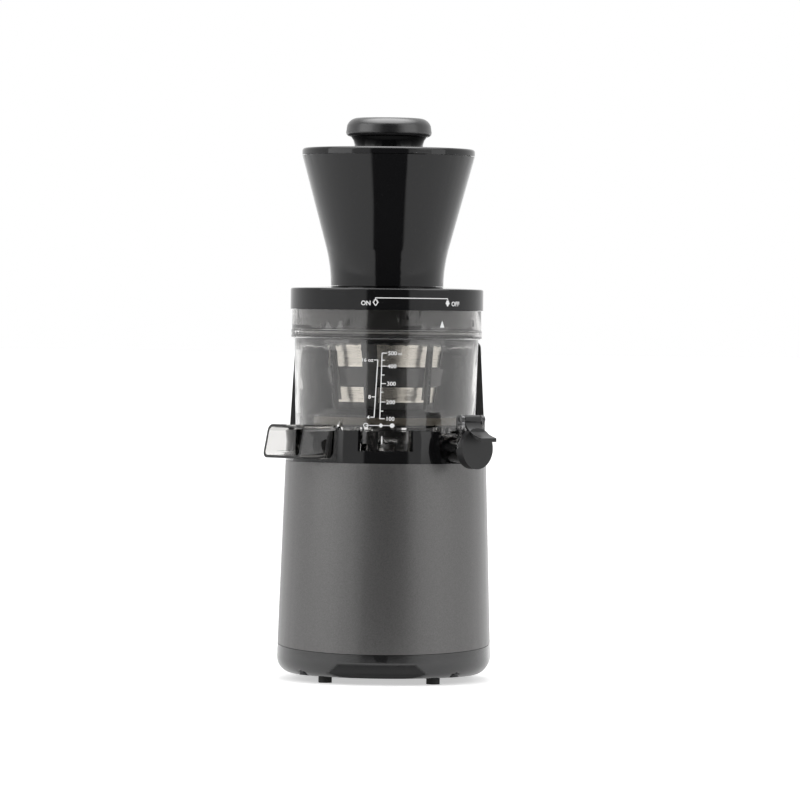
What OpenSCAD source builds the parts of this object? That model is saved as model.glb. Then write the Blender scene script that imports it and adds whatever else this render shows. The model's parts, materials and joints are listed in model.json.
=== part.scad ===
// Vertical slow juicer: motor base with a rear column, clear juicing bowl, twist-on lid,
// wide funnel with its own cover, and a pusher. Millimetres. +Z is up, -Y is the front,
// and the origin lies on the auger's axis at table level.

/* [Body] */
// Radius that the body's taper would have at table level
body_foot_r = 85.8; // [84.5:0.1:90]
// Radius of the body at the joint under the collar
body_top_r = 80; // [79.6:0.1:82]
// Distance from the round front's centre to the round back's centre
rear_reach = 26; // [22:1:34]
// Wall of the graphite body sleeve
body_wall = 2.4; // [1.8:0.1:3]
// Height of the joint between body and collar
collar_z = 175.5; // [174:0.5:182]
// Height of the joint between skirt and body, at the axis
seam_z = 29.5; // [26:0.5:32]
// Forward lean of that joint, in degrees
seam_tilt = 3.3; // [0:0.1:4]
// Rounding of the skirt's lower edge
skirt_round = 13; // [8:0.5:14]
// Wall of the skirt and of the upper housing
shell_wall = 2.8; // [2:0.1:3.2]

/* [Feet] */
// Radius of a rubber foot
foot_r = 5.4; // [4.5:0.1:7]
// Height of the skirt's underside above the table
foot_h = 5.2; // [4:0.1:7]
// Sideways distance of a foot from the middle plane
foot_x = 43; // [36:1:46]
// Distance of the front feet in front of the axis
foot_front = 47; // [40:1:50]

/* [Collar and column] */
// Height of the collar's top edge at the front
collar_h = 26; // [24:0.5:28]
// Height of the rear column above the collar joint
column_h = 97.5; // [90:0.5:98]
// How much the column narrows for each millimetre of height
column_taper = 0.051; // [0.04:0.001:0.055]
// How far behind the axis the column's front edges lie
column_front_y = 20; // [18:1:24]
// Width of the finger recess at the back of the column
grip_w = 84; // [70:1:90]

/* [Drive] */
// Module of the gearbox teeth
gearbox_module = 0.9; // [0.85:0.01:0.95]
// Teeth on each gearbox pinion
pinion_teeth = 12; // [12:1:13]
// Teeth on each gearbox wheel
wheel_teeth = 60; // [56:1:62]
// Width across corners of the hexagonal drive shaft
hex_d = 15; // [13:0.2:15.4]
// Radius of the motor's rotor
rotor_r = 24; // [22:0.5:25]
// Outer radius of the motor's stator
stator_r = 44; // [41:0.5:46]
// Length of the stator's iron stack
stack_h = 40; // [34:1:42]

/* [Bowl] */
// Outer radius of the bowl where it enters the collar
bowl_foot_r = 72.4; // [71.8:0.1:72.8]
// Outer radius of the bowl just below its flange
bowl_top_r = 73.85; // [73.6:0.05:74.2]
// Wall of the bowl
bowl_wall = 2.5; // [2:0.1:2.8]
// Radius of the bowl's flange
flange_r = 76.5; // [76.2:0.1:77]
// Height of the bowl's floor
floor_z = 204; // [203.6:0.1:205]
// Height of the ledge that carries the strainer
ledge_z = 275; // [274:0.5:276]
// Height of the bowl's rim
rim_z = 297; // [296:0.5:298]

/* [Outlets] */
// Width of the pulp chute
chute_w = 45; // [40:1:48]
// Distance of the chute's mouth from the axis, at its top edge
chute_reach = 104; // [96:1:110]
// Outer radius of the juice spout
spout_r = 11.5; // [10.5:0.1:11.8]
// Height of the spout's axis
spout_z = 188.4; // [188.3:0.1:189.4]
// Distance of the spout's flange from the axis
spout_reach = 104.5; // [100:0.5:108]
// Radius of the juice cap
cap_r = 16.2; // [15.8:0.1:17]

/* [Juicing parts] */
// Module of the juicing gears
bowl_gear_module = 2; // [1.95:0.01:2]
// Teeth on the auger
auger_teeth = 26; // [25:1:26]
// Teeth on the idler
idler_teeth = 14; // [13:1:14]
// Inner radius of the strainer at the top of its windows
strainer_r = 46.7; // [45.5:0.1:47.2]
// How much the strainer widens for each millimetre of height
strainer_taper = 0.1458; // [0.13:0.001:0.15]
// Gap between the auger's flight and the strainer
auger_gap = 0.9; // [0.6:0.1:1.6]

/* [Lid and funnel] */
// Radius of the twist-on lid
lid_r = 77.45; // [77:0.05:78.5]
// Height of the lid above the bowl's rim
lid_h = 17.3; // [16:0.1:19]
// Turn of the lid from open to locked, in degrees
lid_turn = 46; // [40:1:47]
// Radius of the feed throat
throat_r = 39.9; // [38:0.1:40.5]
// Radius of the funnel at its foot
funnel_foot_r = 45.2; // [44.6:0.1:46.5]
// Radius of the funnel at its rim
funnel_rim_r = 69.3; // [66:0.1:72]
// Height of the funnel
funnel_h = 104.4; // [96:0.2:112]
// Wall of the funnel
funnel_wall = 2.4; // [1.8:0.1:3]

/* [Pusher] */
// Radius of the pusher's stem
stem_r = 25; // [20:0.5:26]
// Length of the stem below the funnel cover
stem_l = 98; // [80:1:102]
// Radius of the pusher's knob
knob_r = 34.35; // [31:0.1:36]
// Height of the knob above the funnel cover
knob_h = 24.5; // [20:0.5:28]

/* [Hidden] */
$fn = 96;

// clearances
move_gap = 0.3;      // between bodies that move past each other
run_gap = 0.06;      // radial, shaft in bush
seat_gap = 0.05;     // radial, pressed or seated pieces of one body
cut = 1;             // overshoot of a cutting shape

// colours
graphite = [0.40, 0.40, 0.41];
gloss_black = [0.05, 0.05, 0.055];
matte_black = [0.12, 0.12, 0.13];
smoke = [0.45, 0.45, 0.47, 0.45];
steel = [0.68, 0.69, 0.71];
copper = [0.72, 0.42, 0.22];
ivory = [0.86, 0.83, 0.74];
rubber_grey = [0.2, 0.2, 0.2];
silicone = [0.62, 0.62, 0.6];
dark_grey = [0.28, 0.28, 0.29];

// body and collar
function body_r(z) = body_top_r + (collar_z - z) * (body_foot_r - body_top_r) / collar_z;
function column_r(z) = body_top_r - (z - collar_z) * column_taper;
lip_h = 6;
seam_step = 0.35;                  // shadow gap at the two housing joints
collar_top = collar_z + collar_h;
column_top = collar_z + column_h;
deck_t = 3;
deck_top = collar_z + 2.7;
well_r = bowl_foot_r + 1;
column_gap_r = bowl_top_r + 1;
collar_fill_r = max(well_r + 5, column_gap_r + 3.5);
slot_end = well_r + 34;            // outer end of the slots cut through the collar
column_round = 6;
grip_h = 27;
floor_top = foot_h + shell_wall;
boss_angle = 50;
boss_r = 4.6;
boss_inset = 4.5;
screw_r = 1.9;
foot_rear = rear_reach + foot_front - 3;
arch_top_w = 30;
arch_foot_w = 44;
arch_h = 11;
arch_y = 72;                       // plane of the shallow arch in the skirt's front

board_w = 56;
board_l = 26;
board_lift = 4;
board_t = 1.6;

// motor
mount_h = 6;
bracket_z = floor_top + mount_h;
bracket_t = 3;
winding_h = 12;
stack_z = bracket_z + 20;
stack_top = stack_z + stack_h;
motor_top = stack_top + 21;
shaft_r = 5;
bearing_r = 11;
bearing_h = 7;
air_gap = 0.5;

// gearbox
stage_distance = gearbox_module * (pinion_teeth + wheel_teeth) / 2;
wheel_tip_r = gearbox_module * (wheel_teeth / 2 + 0.9);
box_t = 3;
box_z = motor_top;
box_wall = 2.6;
box_r = wheel_tip_r + stage_distance / 2 + 1.4;
stage_one_z = box_z + box_t + 2;
stage_h = 9;
stage_two_z = stage_one_z + stage_h + 1.5;
box_top = stage_two_z + stage_h + 3.5;
cover_t = 4;
output_bush_h = 16;
lay_r = 3;
pinion_bore_r = 3;
drive_r = 7;
drive_foot = stage_two_z;
gearbox_screw_r = box_r + box_wall + 2.5;
gearbox_screw_angles = [45, 135, 225, 315];

// drive into the bowl
hex_gap = 0.35;
hex_z = deck_top + 8;
hex_top = floor_z + 21;
seal_r = 13;

// bowl
function bowl_r(z) = bowl_foot_r
    + (z - collar_top) * (bowl_top_r - bowl_foot_r) / (ledge_z - 1.5 - collar_top);
floor_t = 3;
skirt_z = deck_top + move_gap;
collar_in_r = flange_r - 3.3;      // inside of the bowl's upper collar
collar_out_r = flange_r - 0.4;
hub_r = 16;
hub_z = floor_z - 8.5;
journal_r = 11;
lug_w = 9;                         // width of a lid lug, in degrees
lug_first = 17.5;                  // open place of the first lug, from the front
lug_z = rim_z - 12;
lug_h = 4.6;
lug_out_r = collar_in_r + 1.4;

// outlets
chute_angle = -45;
spout_angle = 45;
chute_t = 2.2;
chute_z = deck_top + 0.9;
chute_top = floor_z + 1.6;
chute_round = 5;
chute_in_x = 27.5;
chute_slant = 6;                   // how far the lower lip stands out past the upper
chute_gap = 1.2;
spout_in_r = 9.2;
sump_x = 62;
sump_r = 7;
spout_flange_r = spout_r + 2.9;
cap_pivot_x = spout_reach - 3;
cap_pivot_z = spout_z + 23;
cap_pin_r = 1.5;
ear_in = 9;
ear_out = 12.4;
cap_face = spout_reach + 0.6;
cap_t = 5;
lever_t = 2.2;
tab_w = 8.3;

// control lever
lever_from = -3;
lever_to = 12;
lever_left = 8;                    // travel towards each end, in degrees
lever_right = 6;
lever_z = spout_z;
lever_h = 10;
lever_slot_gap = 1.5;

// juicing gears
pressure = 25;
gear_z = floor_z + 1.6;
gear_h = 6;
auger_pitch_r = bowl_gear_module * auger_teeth / 2;
idler_distance = bowl_gear_module * (auger_teeth + idler_teeth) / 2;
ring_teeth = auger_teeth + 2 * idler_teeth;
ring_pitch_r = bowl_gear_module * ring_teeth / 2;
ring_out_r = ring_pitch_r + 4.5;
idler_angle = 74;
idler_pin_r = 3;
idler_head_z = gear_z + gear_h + 0.4;
idler_head_t = 1.6;

// strainer, brush and auger
function strain_r(z) = strainer_r - (ledge_z - 3 - z) * strainer_taper;
strainer_floor = gear_z + gear_h + 0.8;
strainer_t = 2.6;
belt_z = floor_z + 33;
belt_h = 13.5;
belt_t = 2.5;
upper_window_z = belt_z + belt_h + 1.2;
upper_window_h = ledge_z - 3.5 - upper_window_z;
lower_window_z = strainer_floor + 11;
lower_window_h = belt_z - 1.2 - lower_window_z;
pillar_w = 15;
pillar_first = -13;
neck_r = auger_pitch_r + bowl_gear_module + 0.7;
port_in_r = neck_r + 1.6;
port_w = 20;
brush_first = -47.5;
brush_top = ledge_z - 0.6;
brush_arm_r = strain_r(brush_top) + strainer_t + 3.4;
brush_arm_t = 3.6;
brush_lean = 0.07;                 // how much an arm leans out for each millimetre of height
brush_low = gear_z + gear_h + 6.5; // top of the cone that carries the arms
function brush_r(z) = brush_arm_r - (brush_top - z) * brush_lean;
auger_z = strainer_floor + 3;
auger_top = ledge_z - 3;
auger_core_r = 19;
auger_fin_r = strain_r(auger_z) - auger_gap;
auger_fin_t = 7;
auger_scale = (strain_r(auger_top) - auger_gap) / auger_fin_r;
auger_twist = -420;
socket_top = hex_top + 1;
pin_r = 5;

// lid, funnel and pusher
lid_top = rim_z + lid_h;
lid_t = 3.2;
throat_t = 2.6;
plug_r = collar_in_r - 0.4;
plug_t = 2.8;
seal_z = ledge_z + 2.9;
seal_h = 3;
plug_z = seal_z + seal_h + move_gap;
bridge_z = rim_z - 6;
bridge_h = 8;
bush_h = bridge_h - 1.5;
pin_top = bridge_z + bush_h - 0.6;
bush_r = 8;
bridge_hub_r = 12.5;
magnet_r = 3;
magnet_h = 4;
magnet_y = plug_r - 10;
magnet_z = lid_top - lid_t - magnet_h;
funnel_z = lid_top + 2;
funnel_rim_z = funnel_z + funnel_h;
spigot_gap = 0.3;
spigot_h = 13;
cover_z = funnel_rim_z + 0.5;
cover_h = 5.4;
cover_top = cover_z + cover_h;
guide_h = 18;

// rocker switch at the back
switch_z = 118;
switch_w = 12;
switch_h = 17;
rocker_w = 8.4;
rocker_h = 11;
switch_y = rear_reach + body_r(switch_z);
rocker_y = switch_y - 5.5;
rocker_pin_r = 1.5;
gland_z = 52;
gland_r = 8.5;
gland_y = rear_reach + body_r(gland_z);

// ---- helpers ----------------------------------------------------------

// A solid with round front and round back, from an outline of [radius, height] points.
module stadium(outline) {
    rotate([0, 0, 180]) rotate_extrude(angle = 180) polygon(outline);
    translate([0, rear_reach, 0]) {
        rotate_extrude(angle = 180) polygon(outline);
        rotate([90, 0, 0]) linear_extrude(rear_reach) {
            polygon(outline);
            mirror([1, 0]) polygon(outline);
        }
    }
}

// Points of a quarter arc round centre c, from angle a to angle b.
function arc(c, r, a, b, n = 8) =
    [for (i = [0:n]) c + r * [cos(a + (b - a) * i / n), sin(a + (b - a) * i / n)]];

// Everything above the leaning joint between skirt and body.
module above_seam(lift) {
    translate([0, 0, seam_z + lift]) rotate([seam_tilt, 0, 0])
        translate([-150, -150, 0]) cube([300, 400, 300]);
}

// Turns +X to the direction that lies a degrees from the front, towards +X.
module facing(a) { rotate([0, 0, a - 90]) children(); }

module ring(r_in, r_out, z, h) {
    translate([0, 0, z]) difference() {
        cylinder(r = r_out, h = h);
        translate([0, 0, -cut]) cylinder(r = r_in, h = h + 2 * cut);
    }
}

// A wedge of up to 170 degrees, centred on +X.
module wedge(w, r, z, h) {
    translate([0, 0, z]) linear_extrude(h)
        polygon([[0, 0], r * [cos(w / 2), -sin(w / 2)], [1.5 * r, 0], r * [cos(w / 2), sin(w / 2)]]);
}

module ring_part(a, w, r_in, r_out, z, h) {
    intersection() {
        ring(r_in, r_out, z, h);
        facing(a) wedge(w, 2 * r_out, z - cut, h + 2 * cut);
    }
}

// A box with two rounded lower edges, along +X, open upwards.
module u_slot(x, length, w, z, h, r) {
    translate([x, 0, z]) rotate([90, 0, 90]) linear_extrude(length) {
        translate([-w / 2, r]) square([w, h - r]);
        if (w > 2 * r) {
            translate([-w / 2 + r, 0]) square([w - 2 * r, h]);
            for (s = [-1, 1]) translate([s * (w / 2 - r), r]) circle(r = r);
        } else translate([0, r]) circle(r = r);
    }
}

module round_bar(x, length, w, z, h, r) {
    translate([x, 0, z]) rotate([90, 0, 90]) linear_extrude(length) {
        translate([-w / 2, r]) square([w, h - 2 * r]);
        translate([-w / 2 + r, 0]) square([w - 2 * r, h]);
        for (s = [-1, 1], v = [r, h - r]) translate([s * (w / 2 - r), v]) circle(r = r);
    }
}

// Half the angle that an involute tooth spans at radius r, in degrees.
function involute(a) = tan(a) * 180 / PI - a;
function tooth_half(r, base_r, teeth, slack, pitch_r) =
    90 / teeth - slack / pitch_r * 90 / PI + involute(pressure) - involute(acos(min(1, base_r / r)));

// Outline of a spur gear with a tooth on +X. slack thins each tooth at the pitch circle.
function gear_points(teeth, m, tip, root, slack, n = 4) =
    let (pitch_r = teeth * m / 2,
         base_r = pitch_r * cos(pressure),
         root_r = pitch_r - root * m,
         tip_r = pitch_r + tip * m,
         from_r = max(base_r, root_r),
         radii = [for (i = [0:n]) from_r + (tip_r - from_r) * i / n],
         flank = concat(root_r < base_r ? [[root_r, tooth_half(base_r, base_r, teeth, slack, pitch_r)]] : [],
                        [for (r = radii) [r, tooth_half(r, base_r, teeth, slack, pitch_r)]]))
    [for (t = [0:teeth - 1], s = [-1, 1], i = [0:len(flank) - 1])
        let (p = s < 0 ? flank[i] : flank[len(flank) - 1 - i], a = 360 * t / teeth + s * p[1])
        p[0] * [cos(a), sin(a)]];

module gear(teeth, m, z, h, slack, phase) {
    translate([0, 0, z]) rotate([0, 0, phase]) linear_extrude(h)
        polygon(gear_points(teeth, m, 0.9, 1.1, slack));
}

// ---- base -------------------------------------------------------------

module skirt_outline(inset) {
    r_foot = body_r(foot_h + skirt_round) - inset;
    arc_r = skirt_round - inset;
    z0 = foot_h + inset;
    stadium(concat([[0, z0]],
        arc([r_foot - arc_r, foot_h + skirt_round], arc_r, -90, 0),
        [[body_r(seam_z + 20) - inset, seam_z + 20], [0, seam_z + 20]]));
}

module at_bosses() {
    for (x = [-1, 1], y = [0, 1]) {
        d = body_r(seam_z) - body_wall - boss_inset;
        translate([x * d * sin(boss_angle), y * rear_reach + (2 * y - 1) * d * cos(boss_angle), 0])
            children();
    }
}

module at_feet() {
    for (x = [-foot_x, foot_x], y = [-foot_front, foot_rear]) translate([x, y, 0]) children();
}

module arch(grow) {
    translate([0, -arch_y + grow, 0]) rotate([90, 0, 0]) linear_extrude(60)
        polygon([[-arch_foot_w - 6 - grow, 0], [arch_foot_w + 6 + grow, 0],
                 [arch_top_w + grow, foot_h + arch_h + grow], [-arch_top_w - grow, foot_h + arch_h + grow]]);
}

module bottom_cover() color(matte_black) difference() {
    union() {
        difference() {
            skirt_outline(0);
            difference() {
                skirt_outline(shell_wall);
                arch(shell_wall);
            }
            above_seam(-seam_step / 2);
        }
        // lip that locates the body sleeve
        difference() {
            lip_ring(body_wall + 0.15, 5);
            above_seam(lip_h - 1);
            arch(-10);
        }
        intersection() {
            at_bosses() translate([0, 0, floor_top - 1]) cylinder(r = boss_r, h = 60);
            skirt_outline(shell_wall / 2);
            translate([-150, -150, 0]) cube([300, 400, seam_z - 4]);
        }
        for (a = [45:90:315]) rotate([0, 0, a]) translate([stator_r - 8, 0, floor_top - 1])
            cylinder(r = 7, h = 2.5);
        at_board() for (x = [4, board_w - 4], y = [4, board_l - 4]) translate([x, y, floor_top - 1])
            cylinder(r = 3, h = board_lift + 1);
    }
    arch(0);
    at_bosses() {
        cylinder(r = screw_r + 0.2, h = 60);
        cylinder(r = 4, h = foot_h + 4);
    }
    at_feet() cylinder(r = 3 + seat_gap, h = 20);
    at_feet() cylinder(r = foot_r + seat_gap, h = foot_h + 1);
    // air slots under the motor
    for (i = [-3:3]) translate([i * 8 - 2, -14, 0]) cube([4, 28, 20]);
}

module lip_ring(inset, below) {
    intersection() {
        difference() {
            stadium([[0, seam_z - 12], [body_r(seam_z - 12) - inset, seam_z - 12],
                     [body_r(seam_z + 20) - inset, seam_z + 20], [0, seam_z + 20]]);
            stadium([[0, seam_z - 13], [body_r(seam_z - 12) - inset - 2, seam_z - 13],
                     [body_r(seam_z + 20) - inset - 2, seam_z + 21], [0, seam_z + 21]]);
        }
        above_seam(-below);
    }
}

module rubber_feet() color(rubber_grey) at_feet() {
    cylinder(r = foot_r, h = foot_h + 1);
    cylinder(r = 3, h = floor_top + 1);
    translate([0, 0, floor_top + 0.1]) cylinder(r1 = 4.2, r2 = 3, h = 2);
}

module body_shell() color(graphite) difference() {
    union() {
        difference() {
            stadium([[0, 0], [body_foot_r, 0], [body_top_r, collar_z], [0, collar_z]]);
            stadium([[0, -cut], [body_r(-cut) - body_wall, -cut],
                     [body_r(collar_z + cut) - body_wall, collar_z + cut], [0, collar_z + cut]]);
        }
        intersection() {
            at_bosses() translate([0, 0, seam_z + 10]) cylinder(r = boss_r, h = 22);
            stadium([[0, 0], [body_foot_r - body_wall / 2, 0],
                     [body_top_r - body_wall / 2, collar_z], [0, collar_z]]);
        }
    }
    difference() {
        translate([-150, -150, -50]) cube([300, 400, 200]);
        above_seam(seam_step / 2);
    }
    at_bosses() cylinder(r = screw_r, h = seam_z + 28);
    translate([-switch_w + 1.5, switch_y - 20, switch_z - switch_h + 1.5])
        cube([2 * switch_w - 3, 40, 2 * switch_h - 3]);
    translate([-switch_w - seat_gap, switch_y - 0.6 - seat_gap, switch_z - switch_h - seat_gap])
        cube([2 * (switch_w + seat_gap), 20, 2 * (switch_h + seat_gap)]);
    translate([0, gland_y - 20, gland_z]) rotate([-90, 0, 0]) cylinder(r = gland_r + seat_gap, h = 40);
    translate([0, gland_y - seat_gap, gland_z]) rotate([-90, 0, 0])
        cylinder(r = gland_r + 2 + seat_gap, h = 20);
}

module housing_screws() color(steel) at_bosses() {
    translate([0, 0, foot_h + 1]) cylinder(r = 3.6, h = 3);
    translate([0, 0, foot_h + 1]) cylinder(r = screw_r - seat_gap, h = seam_z + 18 - foot_h);
}

module upper_housing() color(gloss_black) difference() {
    union() {
        difference() {
            stadium(concat([[0, collar_z + seam_step], [column_r(collar_z), collar_z + seam_step]],
                arc([column_r(column_top) - column_round, column_top - column_round], column_round, 0, 90),
                [[0, column_top]]));
            translate([-150, -150, collar_top]) cube([300, 150 + column_front_y, 200]);
        }
        // lip inside the body sleeve
        stadium([[0, collar_z - lip_h], [body_r(collar_z - lip_h) - body_wall - 0.15, collar_z - lip_h],
                 [body_r(collar_z) - body_wall - 0.15, collar_z],
                 [body_r(collar_z) - body_wall - 0.15, collar_z + 1], [0, collar_z + 1]]);
    }
    difference() {
        stadium([[0, collar_z - lip_h - cut], [body_r(collar_z) - body_wall - 2.2, collar_z - lip_h - cut],
                 [column_r(collar_z) - body_wall - 2.2, collar_z + 1],
                 [column_r(collar_z) - shell_wall, collar_z + 3],
                 [column_r(column_top - shell_wall) - shell_wall - 3, column_top - shell_wall],
                 [0, column_top - shell_wall]]);
        translate([0, 0, deck_top - deck_t]) cylinder(r = collar_fill_r, h = 200);
        grip(shell_wall);
    }
    translate([0, 0, deck_top]) cylinder(r = well_r, h = 200);
    translate([0, 0, collar_top]) cylinder(r = column_gap_r, h = 200);
    cylinder(r = seal_r + seat_gap, h = 300);
    grip(0);
    facing(chute_angle) u_slot(well_r - 6, slot_end - well_r + 6, chute_w + 2 * chute_gap,
                               chute_z - 0.8, 40, chute_round + 2);
    facing(spout_angle) u_slot(sump_x - 1, slot_end - sump_x + 1, 2 * (spout_r + 0.6),
                               spout_z - spout_r - 0.6, 60, spout_r + 0.6);
    facing((lever_from + lever_to) / 2 + (lever_right - lever_left) / 2)
        intersection() {
            wedge(lever_to - lever_from + lever_left + lever_right + 2 * lever_slot_gap, 100,
                  lever_z - lever_h / 2 + 2, 60);
            translate([well_r - 5, -60, 0]) cube([60, 120, 300]);
        }
}

// Finger recess in the back of the column.
module grip(grow) {
    translate([-grip_w / 2 - grow, collar_fill_r + shell_wall - grow, column_top - 44 - grow])
        cube([grip_w + 2 * grow, 80, grip_h + 2 * grow]);
}

module shaft_seal() color(rubber_grey) {
    ring(drive_r + run_gap, seal_r, deck_top - deck_t, deck_t + 0.6);
    ring(drive_r + run_gap, drive_r + 2, deck_top, 3.5);
}

// ---- motor ------------------------------------------------------------

module motor_mounts() color(rubber_grey)
    for (a = [45:90:315]) rotate([0, 0, a]) translate([stator_r - 8, 0, floor_top + 1.5])
        cylinder(r = 5, h = mount_h - 1.5);

module bracket(z, flip) {
    translate([0, 0, z]) mirror([0, 0, flip]) difference() {
        union() {
            cylinder(r = stator_r + 1, h = bracket_t);
            ring(stator_r - 2, stator_r + 1, 0, 20);
            cylinder(r = bearing_r + 3, h = bearing_h + 2);
        }
        translate([0, 0, -cut]) cylinder(r = shaft_r + 1, h = 40);
        translate([0, 0, 1.5]) cylinder(r = bearing_r + seat_gap, h = 40);
        for (a = [0:60:300]) rotate([0, 0, a]) translate([28, 0, -cut]) cylinder(r = 6, h = 5 + cut);
    }
}

module lower_motor_bracket() color(steel) bracket(bracket_z, 0);
module upper_motor_bracket() color(steel) bracket(motor_top, 1);

module motor_stator() color(dark_grey) difference() {
    ring(rotor_r + air_gap, stator_r + 1, stack_z, stack_h);
    for (a = [0:30:330]) rotate([0, 0, a]) translate([rotor_r + 8, 0, stack_z - cut])
        cylinder(r = 3.5, h = stack_h + 2 * cut);
}

module motor_windings() color(copper) {
    for (z = [stack_z - winding_h, stack_top]) ring(rotor_r + 3.5, stator_r - 4, z, winding_h);
    for (a = [0:30:330]) rotate([0, 0, a]) translate([rotor_r + 8, 0, stack_z - 0.5])
        cylinder(r = 3.5 - seat_gap, h = stack_h + 1);
}

module motor_bearings() color(steel) for (z = [bracket_z + 1.5, motor_top - 1.5 - bearing_h])
    ring(shaft_r + run_gap, bearing_r, z, bearing_h);

module rotor_core() color(steel) ring(shaft_r + seat_gap, rotor_r, stack_z + 0.5, stack_h - 1);

module motor_shaft() color(steel) {
    translate([0, 0, bracket_z + 1]) cylinder(r = shaft_r, h = stage_one_z - 2 - bracket_z);
    translate([0, 0, stage_one_z - 1]) cylinder(r = pinion_bore_r - seat_gap, h = stage_h - 4.2);
}

module cooling_fan() color(matte_black) translate([0, 0, stack_z - 9]) {
    ring(shaft_r + seat_gap, shaft_r + 3, 0, 8);
    for (a = [0:45:315]) rotate([0, 0, a]) translate([shaft_r + 2.5, -0.9, 0])
        cube([rotor_r - shaft_r - 3, 1.8, 8]);
}

module motor_pinion() color(steel) difference() {
    gear(pinion_teeth, gearbox_module, stage_one_z, stage_h - 1, 0.16, 90);
    translate([0, 0, stage_one_z - cut]) cylinder(r = pinion_bore_r, h = stage_h - 4);
}

// ---- gearbox ----------------------------------------------------------

module at_layshaft() { translate([0, stage_distance, 0]) children(); }
module at_box() { translate([0, stage_distance / 2, 0]) children(); }
module at_box_screws() {
    at_box() for (a = gearbox_screw_angles) rotate([0, 0, a]) translate([gearbox_screw_r, 0, 0]) children();
}

module box_outline(z, h) {
    translate([0, 0, z]) linear_extrude(h) {
        at_box() circle(r = box_r + box_wall);
        at_box_screws() circle(r = 4);
    }
}

module gearbox_housing() color(dark_grey) difference() {
    box_outline(box_z, box_top - box_z);
    at_box() translate([0, 0, box_z + box_t]) cylinder(r = box_r, h = 100);
    translate([0, 0, box_z - cut]) cylinder(r = bearing_r - 2, h = 20);
    at_layshaft() translate([0, 0, box_z + 1]) cylinder(r = lay_r + seat_gap, h = 20);
    at_box_screws() translate([0, 0, box_top - 14]) cylinder(r = 1.5, h = 30);
}

module gearbox_cover() color(dark_grey) difference() {
    union() {
        box_outline(box_top, cover_t);
        translate([0, 0, box_top]) cylinder(r = drive_r + 6, h = output_bush_h);
        at_layshaft() translate([0, 0, box_top]) cylinder(r = lay_r + 4, h = cover_t + 2);
    }
    translate([0, 0, box_top - cut]) cylinder(r = drive_r + 3 + seat_gap, h = 100);
    at_layshaft() translate([0, 0, box_top - cut]) cylinder(r = lay_r + seat_gap, h = cover_t + cut);
    at_box_screws() translate([0, 0, box_top - cut]) cylinder(r = 1.7, h = 30);
}

module gearbox_screws() color(steel) at_box_screws() {
    translate([0, 0, box_top + cover_t]) cylinder(r = 3, h = 2.2);
    translate([0, 0, box_top - 10]) cylinder(r = 1.45, h = cover_t + 11);
}

module gear_bushes() color([0.75, 0.6, 0.35])
    ring(drive_r + run_gap, drive_r + 3, box_top, output_bush_h);

module layshaft_pin() color(steel) at_layshaft()
    translate([0, 0, box_z + 1]) cylinder(r = lay_r, h = box_top + cover_t - 1 - box_z);

module layshaft_gear() color([0.8, 0.78, 0.7]) at_layshaft() difference() {
    union() {
        gear(wheel_teeth, gearbox_module, stage_one_z, stage_h - 1, 0.16, 273);
        gear(pinion_teeth, gearbox_module, stage_one_z + stage_h - 1.5, stage_h + 2, 0.16, 270);
    }
    translate([0, 0, stage_one_z - cut]) cylinder(r = lay_r + run_gap, h = 60);
}

module output_gear() color(steel) difference() {
    gear(wheel_teeth, gearbox_module, stage_two_z, stage_h - 1, 0.16, 93);
    translate([0, 0, stage_two_z - cut]) cylinder(r = drive_r + seat_gap, h = 60);
}

module drive_shaft() color(steel) {
    translate([0, 0, drive_foot]) cylinder(r = drive_r, h = hex_z - drive_foot);
    translate([0, 0, hex_z]) cylinder(d = hex_d, h = hex_top - hex_z, $fn = 6);
}

// ---- electrics --------------------------------------------------------

module at_board() { translate([-board_w / 2, rear_reach + 40, 0]) children(); }

module control_board() color([0.1, 0.35, 0.2]) at_board()
    translate([0, 0, floor_top + board_lift]) cube([board_w, board_l, board_t]);

module capacitor() color([0.2, 0.2, 0.35]) at_board()
    translate([board_w - 18, board_l / 2, floor_top + board_lift + board_t]) cylinder(r = 9, h = 30);

module interlock_sensor() color(matte_black)
    translate([-8, collar_fill_r + move_gap, column_top - 62]) cube([16, 5, 12]);

module switch_housing() color(matte_black) difference() {
    union() {
        translate([-switch_w, switch_y - 0.6, switch_z - switch_h]) cube([2 * switch_w, 1.8, 2 * switch_h]);
        translate([-switch_w + 1.6, switch_y - 13, switch_z - switch_h + 1.6])
            cube([2 * switch_w - 3.2, 13, 2 * switch_h - 3.2]);
    }
    translate([-rocker_w - move_gap, switch_y - 11, switch_z - rocker_h - 1.5])
        cube([2 * (rocker_w + move_gap), 30, 2 * rocker_h + 3]);
    translate([-20, rocker_y, switch_z]) rotate([0, 90, 0]) cylinder(r = rocker_pin_r + run_gap, h = 40);
}

module rocker_switch() color(gloss_black) {
    translate([-rocker_w, rocker_y, switch_z]) rotate([90, 0, 90]) linear_extrude(2 * rocker_w)
        polygon([[-3, -8], [6.6, -rocker_h], [5.2, 0], [6.6, rocker_h], [-3, 8]]);
    translate([-rocker_w - 1.8, rocker_y, switch_z]) rotate([0, 90, 0])
        cylinder(r = rocker_pin_r, h = 2 * rocker_w + 3.6);
}

module cord_gland() color(rubber_grey) translate([0, gland_y, gland_z]) rotate([-90, 0, 0]) difference() {
    union() {
        translate([0, 0, -body_wall - 1.5]) cylinder(r = gland_r, h = body_wall + 2);
        cylinder(r = gland_r + 2, h = 1.8);
        translate([0, 0, -body_wall - 3.5]) cylinder(r = gland_r + 2, h = 2);
    }
    translate([0, 0, -20]) cylinder(r = 3.7, h = 40);
}

// ---- bowl -------------------------------------------------------------

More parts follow.
